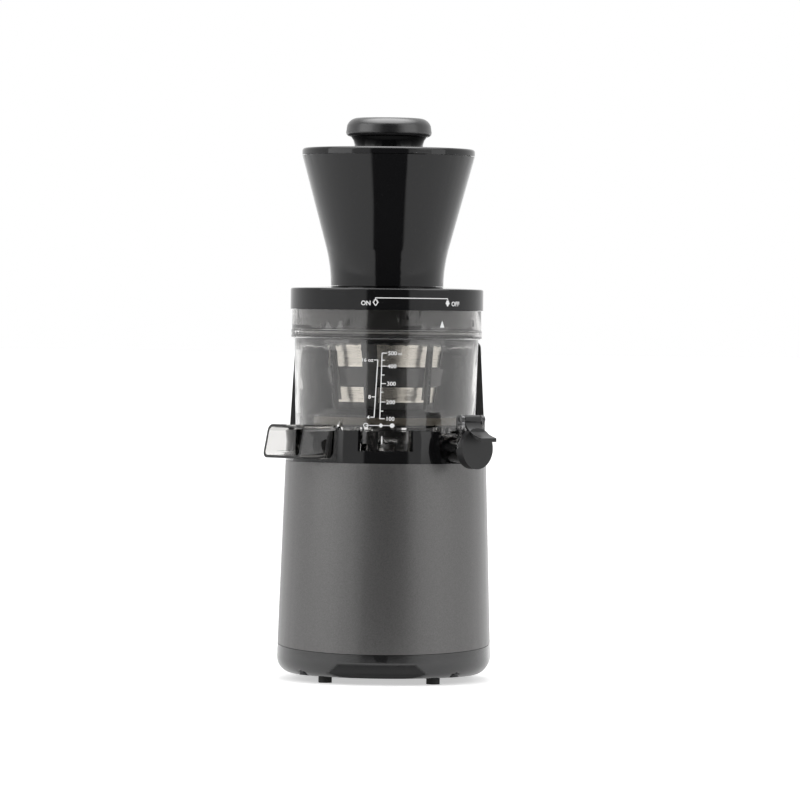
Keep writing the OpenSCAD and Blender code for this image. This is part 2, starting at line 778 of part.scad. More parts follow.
module bowl() color(smoke) difference() {
    union() {
        rotate_extrude() polygon([[0, skirt_z], [bowl_foot_r - 0.2, skirt_z], [bowl_foot_r, collar_top],
            [bowl_top_r, ledge_z - 1.5], [flange_r, ledge_z], [flange_r, ledge_z + 5.6],
            [collar_out_r, ledge_z + 6.4], [collar_out_r, rim_z], [0, rim_z]]);
        facing(chute_angle) difference() {
            round_bar(bowl_foot_r - 10, chute_reach + chute_slant + cut - bowl_foot_r + 10, chute_w,
                      chute_z, chute_top - chute_z, chute_round);
            chute_mouth();
        }
        facing(spout_angle) spout_solid();
    }
    // inside, above the floor
    rotate_extrude() polygon([[0, floor_z], [bowl_r(floor_z) - bowl_wall, floor_z],
        [bowl_top_r - bowl_wall - 0.3, ledge_z], [collar_in_r, ledge_z],
        [collar_in_r, rim_z + cut], [0, rim_z + cut]]);
    // under the floor
    difference() {
        translate([0, 0, skirt_z - cut])
            cylinder(r = bowl_foot_r - bowl_wall, h = floor_z - floor_t - skirt_z + cut);
        cylinder(r = hub_r, h = 400);
        facing(chute_angle) round_bar(chute_in_x, bowl_foot_r - chute_in_x, chute_w, chute_z,
                                      chute_top - chute_z + 9, chute_round);
        facing(spout_angle) {
            translate([sump_x, 0, chute_z]) cylinder(r = sump_r + 2.4, h = 40);
            translate([sump_x, 0, spout_z]) rotate([0, 90, 0])
                cylinder(r = spout_r, h = bowl_foot_r - sump_x);
        }
    }
    cylinder(r = hub_r + cut, h = hub_z);
    cylinder(r = seal_r + seat_gap, h = 300);
    // pulp way
    facing(chute_angle) {
        u_slot(chute_in_x + chute_t, bowl_foot_r + 1.6 - chute_in_x - chute_t, chute_w - 2 * chute_t,
               chute_z + chute_t, floor_z - floor_t - chute_z - chute_t, chute_round - 2);
        round_bar(bowl_foot_r - 0.8, chute_reach, chute_w - 2 * chute_t, chute_z + chute_t,
                  chute_top - chute_z - 2 * chute_t, chute_round - 2);
    }
    ring_part(chute_angle, 2 * port_w, port_in_r, strain_r(strainer_floor) - 2, floor_z - floor_t - cut, 20);
    // juice way
    facing(spout_angle) {
        translate([sump_x, 0, spout_z - spout_in_r + 1]) cylinder(r = sump_r, h = 40);
        translate([sump_x, 0, spout_z]) rotate([0, 90, 0]) cylinder(r = spout_in_r, h = spout_reach);
        translate([cap_pivot_x, -40, cap_pivot_z]) rotate([-90, 0, 0])
            cylinder(r = cap_pin_r + seat_gap, h = 80);
    }
    // slots for the lid's lugs
    for (k = [0:3]) {
        ring_part(lug_first + lid_turn / 2 + 90 * k, lid_turn + lug_w + 4, collar_in_r - 1, lug_out_r + 0.4,
                  lug_z - 0.4, lug_h + 0.8);
        ring_part(lug_first + 90 * k, lug_w + 3, collar_in_r - 1.2, lug_out_r + 0.3, lug_z, 40);
    }
    // slot for the control lever
    ring_part((lever_from + lever_to + lever_right - lever_left) / 2,
              lever_to - lever_from + lever_left + lever_right + 2 * lever_slot_gap,
              bowl_foot_r - 5, bowl_foot_r + 3, lever_z - lever_h / 4 - move_gap, lever_h / 2 + 2 * move_gap);
}

module chute_mouth() {
    rise = chute_top - chute_z;
    translate([0, -60, 0]) rotate([90, 0, 0]) mirror([0, 0, 1]) linear_extrude(120)
        polygon([[chute_reach + chute_slant, chute_z - cut], [chute_reach + chute_slant, chute_z],
                 [chute_reach, chute_z + rise], [chute_reach, chute_z + rise + cut],
                 [chute_reach + 90, chute_z + rise + cut], [chute_reach + 90, chute_z - cut]]);
}

module spout_solid() {
    translate([sump_x, 0, spout_z]) rotate([0, 90, 0]) cylinder(r = spout_r, h = spout_reach - sump_x);
    translate([spout_reach - 3, 0, spout_z]) rotate([0, 90, 0]) cylinder(r = spout_flange_r, h = 3);
    for (s = [-1, 1]) translate([0, s * (ear_in + ear_out) / 2, 0]) {
        translate([cap_pivot_x, (ear_out - ear_in) / 2, cap_pivot_z]) rotate([90, 0, 0])
            cylinder(r = cap_pin_r + 2, h = ear_out - ear_in);
        translate([cap_pivot_x - 3.5, -(ear_out - ear_in) / 2, spout_z + 5])
            cube([6.5, ear_out - ear_in, cap_pivot_z - spout_z - 5]);
    }
}

module bowl_seal() color(silicone) {
    ring(journal_r + run_gap + 0.02, seal_r, hub_z, floor_z - hub_z);
    ring(journal_r + run_gap + 0.02, hub_r, floor_z, 0.9);
}

module control_lever() color(smoke) {
    mid = (lever_from + lever_to) / 2;
    span = lever_to - lever_from;
    ring_part(mid, span, bowl_foot_r + 0.5, column_r(lever_z) - 0.8, lever_z - lever_h / 2 + 2.6, lever_h);
    ring_part(mid, span - 4, bowl_foot_r - 8, bowl_foot_r + 1, lever_z - lever_h / 4, lever_h / 2);
    ring_part(mid, span + 12, bowl_foot_r - 10, bowl_foot_r - bowl_wall - move_gap,
              lever_z - lever_h / 4, lever_h / 2);
}

module juice_cap() color(gloss_black) facing(spout_angle) difference() {
    union() {
        translate([cap_face, 0, spout_z]) rotate([0, 90, 0]) cylinder(r = cap_r, h = cap_t);
        difference() {
            translate([cap_face - 2.6, 0, spout_z]) rotate([0, 90, 0]) cylinder(r = cap_r, h = 3);
            translate([cap_face - 4, 0, spout_z]) rotate([0, 90, 0])
                cylinder(r = spout_flange_r + 0.7, h = 5);
            translate([0, -60, spout_z]) cube([200, 120, 60]);
        }
        // lever with its thumb tab
        translate([0, tab_w, 0]) rotate([90, 0, 0]) linear_extrude(2 * tab_w) polygon(lever_outline());
        translate([cap_pivot_x, tab_w, cap_pivot_z]) rotate([90, 0, 0]) cylinder(r = 3.4, h = 2 * tab_w);
    }
    translate([cap_pivot_x, 40, cap_pivot_z]) rotate([90, 0, 0]) cylinder(r = cap_pin_r + run_gap, h = 80);
    translate([cap_face - cut, 0, spout_z]) rotate([0, 90, 0])
        cylinder(r = spout_flange_r - 0.9, h = 1.5 + cut);
}

// Side view of the cap's lever, from the hinge to the thumb tab, as [outward, height].
function lever_line(t) =
    [cap_pivot_x + 0.3 + 7.8 * t + 13 * t * t * t, cap_pivot_z + 3.3 - 24 * t + 6.3 * t * t];
function lever_outline(n = 10) = concat(
    [for (i = [0:n]) lever_line(i / n)],
    [for (i = [n:-1:0]) let (t = i / n)
        lever_line(t) - lever_t * [(0.5 + 0.5 * t) * (1 - t), 0.35 + t]]);

module cap_gasket() color(silicone) facing(spout_angle)
    translate([cap_face - 0.25, 0, spout_z]) rotate([0, 90, 0]) cylinder(r = spout_flange_r - 1, h = 1.7);

module cap_hinge_pin() color(steel) facing(spout_angle)
    translate([cap_pivot_x, ear_out, cap_pivot_z]) rotate([90, 0, 0])
        cylinder(r = cap_pin_r, h = 2 * ear_out);

// ---- juicing parts ----------------------------------------------------

module at_idler() { facing(idler_angle) translate([idler_distance, 0, 0]) children(); }

module idler_pin() color(matte_black) at_idler() {
    translate([0, 0, floor_z]) cylinder(r = idler_pin_r, h = idler_head_z + idler_head_t - floor_z);
    translate([0, 0, floor_z]) cylinder(r = idler_pin_r + 2, h = gear_z - floor_z - move_gap);
    translate([0, 0, idler_head_z]) cylinder(r = idler_pin_r + 2, h = idler_head_t);
}

module idler_gear() color(ivory) difference() {
    at_idler() rotate([0, 0, 180 + 180 / idler_teeth])
        gear(idler_teeth, bowl_gear_module, gear_z, gear_h, 0.3, 0);
    at_idler() translate([0, 0, gear_z - cut]) cylinder(r = idler_pin_r + run_gap, h = 20);
}

module brush_ring_gear() color(ivory) difference() {
    translate([0, 0, gear_z]) cylinder(r = ring_out_r, h = gear_h);
    mesh_turn = idler_teeth % 2 == 0 ? 180 / ring_teeth : 0;
    translate([0, 0, gear_z - cut]) rotate([0, 0, idler_angle - 90 + mesh_turn])
        linear_extrude(gear_h + 2 * cut)
            polygon(gear_points(ring_teeth, bowl_gear_module, 1.1, 0.9, -0.3, 4));
}

module brush_frame() color(dark_grey) {
    base = gear_z + gear_h;
    rim_r = ring_out_r - 2.2;
    low_r = brush_r(brush_low);
    rotate_extrude() polygon([[rim_r, base], [ring_out_r, base], [ring_out_r, base + 2],
        [low_r + brush_arm_t, brush_low], [low_r, brush_low], [low_r + 1.6, base + 3],
        [rim_r, base + 0.4]]);
    ring(brush_arm_r - 0.4, brush_arm_r + brush_arm_t + 0.4, brush_top - 2.6, 2.6);
    for (k = [0:3]) facing(brush_first + 90 * k) difference() {
        brush_strip(0, brush_arm_t, brush_arm_t, brush_low - 1, brush_top - 1);
        for (z = [brush_low + 4 : 4 : brush_top - 8])
            translate([brush_r(z) + brush_arm_t - 1.2, -0.8, z]) cube([3, 1.6, 2.9]);
    }
}

// A leaning strip of width w, from inset to inset + t outside the arms' inner face.
module brush_strip(inset, t, w, low, high) {
    translate([0, w / 2, 0]) rotate([90, 0, 0]) linear_extrude(w)
        polygon([for (p = [[inset, low], [inset + t, low], [inset + t, high], [inset, high]])
            [brush_r(p[1]) + p[0], p[1]]]);
}

module wiper_blades() color(silicone) for (k = [0:3]) facing(brush_first + 90 * k) {
    low = gear_z + gear_h + 14;
    high = brush_top - 8;
    belt_clear = strainer_t + belt_t + 0.5;
    translate([0, 0.8, 0]) rotate([90, 0, 0]) linear_extrude(1.6)
        polygon([[strain_r(low) + belt_clear, low], [brush_r(low) - seat_gap, low],
                 [brush_r(high) - seat_gap, high], [strain_r(high) + belt_clear, high]]);
}

module strainer_cone(inset, t, z, top) {
    rotate_extrude() polygon([[strain_r(z) + inset, z], [strain_r(z) + inset + t, z],
                              [strain_r(top) + inset + t, top], [strain_r(top) + inset, top]]);
}

module strainer_windows() {
    for (k = [0:3]) facing(pillar_first + 45 + 90 * k) {
        wedge(90 - pillar_w, 70, upper_window_z, upper_window_h);
        wedge(90 - pillar_w, 70, lower_window_z, lower_window_h);
    }
}

module strainer_frame() color(dark_grey) {
    difference() {
        union() {
            strainer_cone(0, strainer_t, strainer_floor, ledge_z + 0.5);
            strainer_cone(strainer_t - 0.5, belt_t + 0.5, belt_z, belt_z + belt_h);
            ring(strain_r(ledge_z), collar_in_r - 0.1, ledge_z + 0.1, 2.4);
            ring(neck_r, strain_r(strainer_floor) + 1, strainer_floor, 2.4);
        }
        strainer_windows();
        ring_part(chute_angle, 2 * port_w, port_in_r, strain_r(strainer_floor) - 2, strainer_floor - cut, 5);
        // notch over the idler pin's head
        at_idler() translate([0, 0, idler_head_z - cut])
            cylinder(r = idler_pin_r + 2 + move_gap, h = idler_head_t + cut + move_gap);
    }
    difference() {
        ring_part(chute_angle, 2 * port_w + 5, neck_r, strain_r(strainer_floor) - 0.2,
                  floor_z + 0.1, strainer_floor - floor_z);
        ring_part(chute_angle, 2 * port_w, port_in_r, strain_r(strainer_floor) - 2, floor_z - cut, 20);
    }
}

module strainer_mesh() color(ivory) intersection() {
    strainer_cone(0.8, 0.7, strainer_floor + 4, ledge_z - 1);
    strainer_windows();
}

module auger_gear() color(ivory) difference() {
    union() {
        translate([0, 0, hub_z + 1]) cylinder(r = journal_r, h = gear_z - hub_z);
        rotate([0, 0, idler_angle - 90]) gear(auger_teeth, bowl_gear_module, gear_z, gear_h, 0.3, 0);
        translate([0, 0, gear_z + gear_h]) cylinder(r = neck_r - 0.7, h = auger_z - gear_z - gear_h);
        translate([0, 0, auger_z]) cylinder(r = journal_r + 1, h = socket_top + 2 - auger_z);
    }
    translate([0, 0, hub_z]) cylinder(d = hex_d + 2 * hex_gap, h = socket_top - hub_z, $fn = 6);
}

module auger_screw() color(matte_black) difference() {
    union() {
        translate([0, 0, auger_z + 0.1])
            linear_extrude(auger_top - auger_z - 0.1, twist = auger_twist, scale = auger_scale,
                           slices = 44, $fn = 20) auger_section();
        translate([0, 0, auger_top - 0.5]) cylinder(r1 = auger_core_r * auger_scale - 1, r2 = 12, h = 8);
    }
    translate([0, 0, auger_z - cut])
        cylinder(r = journal_r + 1 + seat_gap, h = socket_top + 2 - auger_z + cut);
    translate([0, 0, auger_top - 18]) cylinder(r = pin_r + seat_gap, h = 60);
}

module auger_section() {
    circle(r = auger_core_r);
    intersection() {
        circle(r = auger_fin_r, $fn = 72);
        for (a = [0, 180]) rotate(a) polygon([[0, -auger_core_r], [auger_core_r, -auger_core_r + 2],
            [2 * auger_core_r, -3], [2 * auger_core_r, 3], [10, auger_fin_t]]);
    }
}

module auger_pin() color(steel) {
    translate([0, 0, auger_top - 17.9]) cylinder(r = pin_r, h = pin_top - 1 - auger_top + 17.9);
    translate([0, 0, pin_top - 1]) cylinder(r1 = pin_r, r2 = pin_r - 1, h = 1);
}

// ---- lid --------------------------------------------------------------

module lid_seal() color(silicone) ring(collar_in_r - 4, plug_r, seal_z, seal_h);

module lid() color(gloss_black) difference() {
    union() {
        rotate_extrude() polygon(concat([[throat_r, rim_z + 8], [plug_r - plug_t, rim_z + move_gap],
            [lid_r, rim_z + move_gap]],
            arc([lid_r - 1.5, lid_top - 1.5], 1.5, 0, 90, 4),
            [[funnel_foot_r + 0.6, lid_top + 1.4], [funnel_foot_r - 0.6, lid_top + 1.7],
             [throat_r, lid_top + 1.7]]));
        ring(plug_r - plug_t, plug_r, plug_z, rim_z + 2 - plug_z);
        for (k = [0:3]) ring_part(lug_first + 90 * k, lug_w, plug_r - 1, lug_out_r, lug_z, lug_h);
        ring(throat_r, throat_r + throat_t, ledge_z + 5, lid_top - ledge_z - 5);
        translate([-throat_r - 1, -5, bridge_z]) cube([2 * throat_r + 2, 10, bridge_h]);
        translate([0, 0, bridge_z]) cylinder(r = bridge_hub_r, h = bridge_h);
    }
    translate([0, 0, bridge_z - cut]) cylinder(r = bush_r + seat_gap, h = bush_h + cut);
    // hollow under the rim
    difference() {
        ring(throat_r + throat_t + 1.5, plug_r - plug_t, rim_z - 20, 20 + lid_h - lid_t - 1);
        translate([-4, throat_r, rim_z]) cube([8, 40, 30]);
    }
    translate([0, magnet_y, magnet_z - seat_gap])
        cylinder(r = magnet_r + seat_gap, h = magnet_h + 2 * seat_gap);
}

module lid_bush() color([0.75, 0.6, 0.35]) ring(pin_r + run_gap, bush_r, bridge_z, bush_h);

module interlock_magnet() color(steel)
    translate([0, magnet_y, magnet_z]) cylinder(r = magnet_r, h = magnet_h);

// ---- funnel and pusher ------------------------------------------------

// Outer radius of the funnel at a share t of its height: a flared foot, then a straight cone.
function funnel_r(t) = funnel_foot_r + (funnel_rim_r - funnel_foot_r)
    * (t < flare_h ? flare_w * pow(t / flare_h, 1.9)
                   : flare_w + (t - flare_h) * (1 - flare_w) / (1 - flare_h));
flare_h = 0.28;                    // share of the height that the flared foot takes
flare_w = 0.157;                   // share of the widening at the flare's top
funnel_shares = [0, 0.05, 0.1, 0.15, 0.2, 0.24, flare_h, 1];

module hopper() color(gloss_black) rotate_extrude() polygon(concat(
    [[throat_r - spigot_gap - 2.2, funnel_z - spigot_h], [throat_r - spigot_gap, funnel_z - spigot_h],
     [throat_r - spigot_gap, funnel_z]],
    [for (t = funnel_shares) [funnel_r(t), funnel_z + t * funnel_h]],
    [for (i = [len(funnel_shares) - 1:-1:2]) let (t = funnel_shares[i])
        [funnel_r(t) - funnel_wall, funnel_z + t * funnel_h]],
    [[throat_r - spigot_gap - 2.2, funnel_z + 3]]));

module hopper_lid() color(gloss_black) difference() {
    union() {
        rotate_extrude() polygon(concat([[0, cover_z], [funnel_rim_r + 0.1, cover_z]],
            arc([funnel_rim_r - 2.3, cover_top - 2.4], 2.4, 0, 90, 6), [[0, cover_top]]));
        ring(funnel_rim_r - funnel_wall - 5.3, funnel_rim_r - funnel_wall - 2.6, cover_z - 7, 8);
        ring(stem_r + 0.4, stem_r + 2.6, cover_z - guide_h, guide_h + 1);
    }
    cylinder(r = stem_r + 0.4, h = 500);
}

module pusher_stem() color(gloss_black) difference() {
    union() {
        translate([0, 0, cover_top - stem_l]) cylinder(r = stem_r, h = stem_l + 8);
        rotate_extrude() polygon([[0, cover_top + move_gap], [stem_r + 2.5, cover_top + move_gap],
            [stem_r + 2.6, cover_top + 3], [stem_r + 3.6, cover_top + 6.5],
            [stem_r + 5.6, cover_top + 9.4], [0, cover_top + 9.4]]);
    }
    translate([0, 0, cover_top - stem_l + 2.5]) cylinder(r = stem_r - 2.5, h = stem_l + 40);
}

module pusher_knob() color(gloss_black) {
    z0 = cover_top + 9.5;
    h = knob_h - 9.5;
    rotate_extrude() polygon(concat([[0, z0], [knob_r - 3.4, z0]],
        arc([knob_r - 3.2, z0 + 3.4], 3.2, -80, 10, 6), arc([knob_r - 9.4, z0 + h - 9.2], 9.2, 20, 88, 8),
        [[0, z0 + h]]));
    translate([0, 0, z0 - 6]) cylinder(r = stem_r - 2.5 - seat_gap, h = 7);
}

bottom_cover();
rubber_feet();
body_shell();
upper_housing();
housing_screws();
motor_mounts();
lower_motor_bracket();
motor_stator();
motor_windings();
upper_motor_bracket();
motor_bearings();
rotor_core();
motor_shaft();
cooling_fan();
motor_pinion();
gearbox_housing();
gearbox_cover();
gearbox_screws();
gear_bushes();
layshaft_pin();
layshaft_gear();
output_gear();
drive_shaft();
shaft_seal();
control_board();
capacitor();
interlock_sensor();
switch_housing();
rocker_switch();
cord_gland();
bowl();
bowl_seal();
control_lever();
idler_pin();
idler_gear();
brush_frame();
brush_ring_gear();
wiper_blades();
strainer_frame();
strainer_mesh();
auger_gear();
auger_screw();
auger_pin();
juice_cap();
cap_gasket();
cap_hinge_pin();
lid_seal();
lid();
lid_bush();
interlock_magnet();
hopper();
hopper_lid();
pusher_stem();
pusher_knob();
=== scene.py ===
import json
import math

import bmesh
import bpy
from bpy.props import FloatProperty, FloatVectorProperty, PointerProperty
from mathutils import Matrix, Vector

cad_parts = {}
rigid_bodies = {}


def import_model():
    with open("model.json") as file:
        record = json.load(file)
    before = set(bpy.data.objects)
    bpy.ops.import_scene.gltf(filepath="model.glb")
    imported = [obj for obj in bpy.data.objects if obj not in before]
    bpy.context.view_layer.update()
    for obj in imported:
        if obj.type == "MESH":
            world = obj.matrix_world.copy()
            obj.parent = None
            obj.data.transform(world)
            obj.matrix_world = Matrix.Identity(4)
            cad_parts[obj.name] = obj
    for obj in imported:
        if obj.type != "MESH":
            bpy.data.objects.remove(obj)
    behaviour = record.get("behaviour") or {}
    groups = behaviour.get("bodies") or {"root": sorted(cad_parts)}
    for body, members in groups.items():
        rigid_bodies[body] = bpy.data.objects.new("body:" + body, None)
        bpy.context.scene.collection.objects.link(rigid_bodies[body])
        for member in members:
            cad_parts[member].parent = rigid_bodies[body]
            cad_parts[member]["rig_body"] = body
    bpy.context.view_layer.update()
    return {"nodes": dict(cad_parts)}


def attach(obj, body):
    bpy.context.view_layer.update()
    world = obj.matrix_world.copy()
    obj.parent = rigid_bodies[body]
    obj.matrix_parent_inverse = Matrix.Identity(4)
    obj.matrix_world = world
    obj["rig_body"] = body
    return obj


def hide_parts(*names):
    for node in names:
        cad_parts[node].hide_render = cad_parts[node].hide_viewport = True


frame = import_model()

bl_info = {
    "name": "Vertical Slow Juicer",
    "version": (1, 0, 0),
    "blender": (4, 5, 0),
    "location": "View3D > Sidebar > Juicer",
    "description": "Dresses a vertical slow juicer's frame: housing, clear bowl, strainer, lid and funnel",
    "category": "Add Mesh",
}

MM = 0.001


# ---- settings ---------------------------------------------------------------

def colour_setting(name, description, default):
    return FloatVectorProperty(name=name, description=description, default=default,
                               subtype="COLOR", size=3, min=0.0, max=1.0)


def length_setting(name, description, default, low, high):
    return FloatProperty(name=name, description=description, default=default, min=low, max=high,
                         unit="LENGTH", subtype="DISTANCE", precision=5)


class JuicerFinishes(bpy.types.PropertyGroup):
    """Colours of the juicer's finishes"""
    graphite: colour_setting("Graphite", "Metallic paint of the body sleeve", (0.112, 0.110, 0.109))
    gloss: colour_setting("Gloss black", "Polished plastic of collar, lid and funnel",
                          (0.0055, 0.0055, 0.006))
    matt: colour_setting("Matt black", "Moulded plastic of the skirt", (0.006, 0.006, 0.0063))
    clear: colour_setting("Clear smoke", "Tint of the bowl", (0.80, 0.79, 0.775))
    # a darker copy of the clear smoke on the spout: painted shade where the black housing shows through
    spout: colour_setting("Dark smoke", "Tint of the juice spout and its hinge", (0.16, 0.16, 0.165))
    cap: colour_setting("Cap black", "Satin plastic of the juice cap and its lever", (0.009, 0.009, 0.0094))
    strainer: colour_setting("Strainer grey", "Moulded frame of the strainer and the brush",
                             (0.07, 0.07, 0.072))
    screen: colour_setting("Screen", "Metal of the strainer's screens", (0.93, 0.89, 0.82))
    ivory: colour_setting("Ivory", "Plastic of the juicing gears", (0.50, 0.45, 0.35))
    marking: colour_setting("Marking", "Printed lines, numbers and words", (0.86, 0.86, 0.86))


class JuicerSizes(bpy.types.PropertyGroup):
    """Sizes of the added detail"""
    edge: length_setting("Edge rounding", "Radius of the housing's softened edges", 0.0006, 0.0001, 0.0015)
    stroke: length_setting("Mark stroke", "Width of a printed line", 0.0007, 0.0003, 0.0012)
    print_t: length_setting("Print thickness", "Thickness of the printed marks", 0.00008, 0.00003, 0.0002)
    screen_pitch: length_setting("Screen pitch", "Distance between the screen bars", 0.00105, 0.0008, 0.003)


class JuicerStage(bpy.types.PropertyGroup):
    """Light and camera"""
    key: FloatProperty(name="Side light", description="Power of each side light", default=11.0,
                       min=1.0, max=200.0, unit="POWER")
    ambient: FloatProperty(name="Surroundings", description="Light of the white room on the juicer",
                           default=0.72, min=0.0, max=1.5)
    ceiling: FloatProperty(name="Ceiling", description="How much brighter reflections see the ceiling",
                           default=5.0, min=0.0, max=10.0)
    azimuth: FloatProperty(name="Camera turn", description="Camera's place round the object",
                           default=math.radians(3.3), subtype="ANGLE")
    distance: length_setting("Camera distance", "From the camera to the juicer's axis", 4.5, 2.0, 9.0)


# ---- material effects ---------------------------------------------------------

def new_group(name, inputs, outputs):
    group = bpy.data.node_groups.new(name, "ShaderNodeTree")
    for label, kind, value in inputs:
        socket = group.interface.new_socket(name=label, in_out="INPUT", socket_type=kind)
        if value is not None:
            socket.default_value = value
    for label, kind in outputs:
        group.interface.new_socket(name=label, in_out="OUTPUT", socket_type=kind)
    return group, group.nodes.new("NodeGroupInput"), group.nodes.new("NodeGroupOutput")


def feed(tree, socket, value):
    """Sets a socket to a number or a colour, or links it to another node's output."""
    if isinstance(value, (int, float)):
        socket.default_value = value
    elif isinstance(value, tuple):
        socket.default_value = (*value, 1.0)
    else:
        tree.links.new(value, socket)


def math_node(tree, operation, *values, clamp=False):
    node = tree.nodes.new("ShaderNodeMath")
    node.operation = operation
    node.use_clamp = clamp
    for socket, value in zip(node.inputs, values):
        feed(tree, socket, value)
    return node.outputs[0]


def noise(tree, vector, scale, detail=2.0, rough=0.5):
    node = tree.nodes.new("ShaderNodeTexNoise")
    node.inputs["Detail"].default_value = detail
    node.inputs["Roughness"].default_value = rough
    feed(tree, node.inputs["Scale"], scale)
    tree.links.new(vector, node.inputs["Vector"])
    return node.outputs["Fac"]


def mix_colour(tree, factor, a, b):
    node = tree.nodes.new("ShaderNodeMix")
    node.data_type = "RGBA"
    for index, value in ((0, factor), (6, a), (7, b)):
        feed(tree, node.inputs[index], value)
    return node.outputs[2]


def scaled_colour(tree, colour, gain):
    node = tree.nodes.new("ShaderNodeVectorMath")
    node.operation = "SCALE"
    tree.links.new(colour, node.inputs[0])
    tree.links.new(gain, node.inputs["Scale"])
    return node.outputs[0]


def grain_group():
    """Fine grain of moulded or sprayed surfaces: a height and a slow colour drift."""
    group, given, out = new_group("Moulded grain", [
        ("Vector", "NodeSocketVector", None), ("Grain Scale", "NodeSocketFloat", 2500.0),
        ("Drift Scale", "NodeSocketFloat", 18.0), ("Colour", "NodeSocketColor", (0.5, 0.5, 0.5, 1.0)),
        ("Drift", "NodeSocketFloat", 0.05), ("Roughness", "NodeSocketFloat", 0.4),
        ("Roughness Drift", "NodeSocketFloat", 0.05)],
        [("Colour", "NodeSocketColor"), ("Roughness", "NodeSocketFloat"), ("Height", "NodeSocketFloat")])
    fine = noise(group, given.outputs["Vector"], given.outputs["Grain Scale"], 2.0)
    slow = noise(group, given.outputs["Vector"], given.outputs["Drift Scale"], 4.0, 0.6)
    centred = math_node(group, "SUBTRACT", slow, 0.5)
    gain = math_node(group, "MULTIPLY_ADD", centred, given.outputs["Drift"], 1.0)
    group.links.new(scaled_colour(group, given.outputs["Colour"], gain), out.inputs["Colour"])
    fine_centred = math_node(group, "SUBTRACT", fine, 0.5)
    both = math_node(group, "ADD", math_node(group, "MULTIPLY", fine_centred, 0.5), centred)
    rough = math_node(group, "MULTIPLY_ADD", both, given.outputs["Roughness Drift"],
                      given.outputs["Roughness"])
    group.links.new(rough, out.inputs["Roughness"])
    group.links.new(fine, out.inputs["Height"])
    return group


def flake_group():
    """Sparkle of metallic paint: small cells that catch a little more light."""
    group, given, out = new_group("Metal flake", [
        ("Vector", "NodeSocketVector", None), ("Flake Scale", "NodeSocketFloat", 3000.0),
        ("Colour", "NodeSocketColor", (0.5, 0.5, 0.5, 1.0)), ("Sparkle", "NodeSocketFloat", 0.3)],
        [("Colour", "NodeSocketColor"), ("Height", "NodeSocketFloat")])
    cells = group.nodes.new("ShaderNodeTexVoronoi")
    group.links.new(given.outputs["Vector"], cells.inputs["Vector"])
    group.links.new(given.outputs["Flake Scale"], cells.inputs["Scale"])
    grey = group.nodes.new("ShaderNodeSeparateColor")
    group.links.new(cells.outputs["Color"], grey.inputs["Color"])
    centred = math_node(group, "SUBTRACT", grey.outputs[0], 0.5)
    gain = math_node(group, "MULTIPLY_ADD", centred, given.outputs["Sparkle"], 1.0)
    group.links.new(scaled_colour(group, given.outputs["Colour"], gain), out.inputs["Colour"])
    group.links.new(grey.outputs[1], out.inputs["Height"])
    return group


def dust_group():
    """Faint dust and smears that raise the roughness of polished surfaces in patches."""
    group, given, out = new_group("Fine dust", [
        ("Vector", "NodeSocketVector", None), ("Roughness", "NodeSocketFloat", 0.08),
        ("Smear", "NodeSocketFloat", 0.05), ("Speck Scale", "NodeSocketFloat", 900.0)],
        [("Roughness", "NodeSocketFloat"), ("Specks", "NodeSocketFloat")])
    smear = noise(group, given.outputs["Vector"], 22.0, 5.0, 0.65)
    above = math_node(group, "SUBTRACT", smear, 0.52, clamp=True)
    patch = math_node(group, "MULTIPLY", above, 3.0, clamp=True)
    rough = math_node(group, "MULTIPLY_ADD", patch, given.outputs["Smear"], given.outputs["Roughness"])
    specks = noise(group, given.outputs["Vector"], given.outputs["Speck Scale"], 1.0)
    sharp = math_node(group, "GREATER_THAN", specks, 0.74)
    group.links.new(rough, out.inputs["Roughness"])
    group.links.new(sharp, out.inputs["Specks"])
    return group


def brushed_group():
    """Fine machining lines round or along a metal piece."""
    group, given, out = new_group("Machined lines", [
        ("Vector", "NodeSocketVector", None), ("Line Scale", "NodeSocketFloat", 1500.0),
        ("Colour", "NodeSocketColor", (0.5, 0.5, 0.5, 1.0)), ("Depth", "NodeSocketFloat", 0.12)],
        [("Colour", "NodeSocketColor"), ("Roughness", "NodeSocketFloat"), ("Height", "NodeSocketFloat")])
    stretch = group.nodes.new("ShaderNodeVectorMath")
    stretch.operation = "MULTIPLY"
    stretch.inputs[1].default_value = (0.03, 0.03, 1.0)
    group.links.new(given.outputs["Vector"], stretch.inputs[0])
    lines = noise(group, stretch.outputs[0], given.outputs["Line Scale"], 3.0)
    centred = math_node(group, "SUBTRACT", lines, 0.5)
    gain = math_node(group, "MULTIPLY_ADD", centred, given.outputs["Depth"], 1.0)
    group.links.new(scaled_colour(group, given.outputs["Colour"], gain), out.inputs["Colour"])
    group.links.new(math_node(group, "MULTIPLY_ADD", centred, 0.25, 0.3), out.inputs["Roughness"])
    group.links.new(lines, out.inputs["Height"])
    return group


GROUPS = {}


def effect(tree, kind, vector, **values):
    """Places a shared effect in a material with its own values."""
    makers = {"grain": grain_group, "flake": flake_group, "dust": dust_group, "brushed": brushed_group}
    if kind not in GROUPS:
        GROUPS[kind] = makers[kind]()
    node = tree.nodes.new("ShaderNodeGroup")
    node.node_tree = GROUPS[kind]
    tree.links.new(vector, node.inputs["Vector"])
    for label, value in values.items():
        feed(tree, node.inputs[label.replace("_", " ")], value)
    return node


def blank_material(name):
    """A material with object coordinates and a Principled shader."""
    material = bpy.data.materials.new(name)
    material.use_nodes = True
    tree = material.node_tree
    shader = tree.nodes["Principled BSDF"]
    place = tree.nodes.new("ShaderNodeTexCoord").outputs["Object"]
    return material, tree, shader, place


def tint(name, share=1.0):
    """A colour of the settings, or a darker share of it."""
    return tuple(share * part for part in getattr(bpy.context.scene.juicer_finishes, name))


def bump(tree, shader, height, strength, distance):
    node = tree.nodes.new("ShaderNodeBump")
    node.inputs["Strength"].default_value = strength
    node.inputs["Distance"].default_value = distance
    tree.links.new(height, node.inputs["Height"])
    tree.links.new(node.outputs["Normal"], shader.inputs["Normal"])


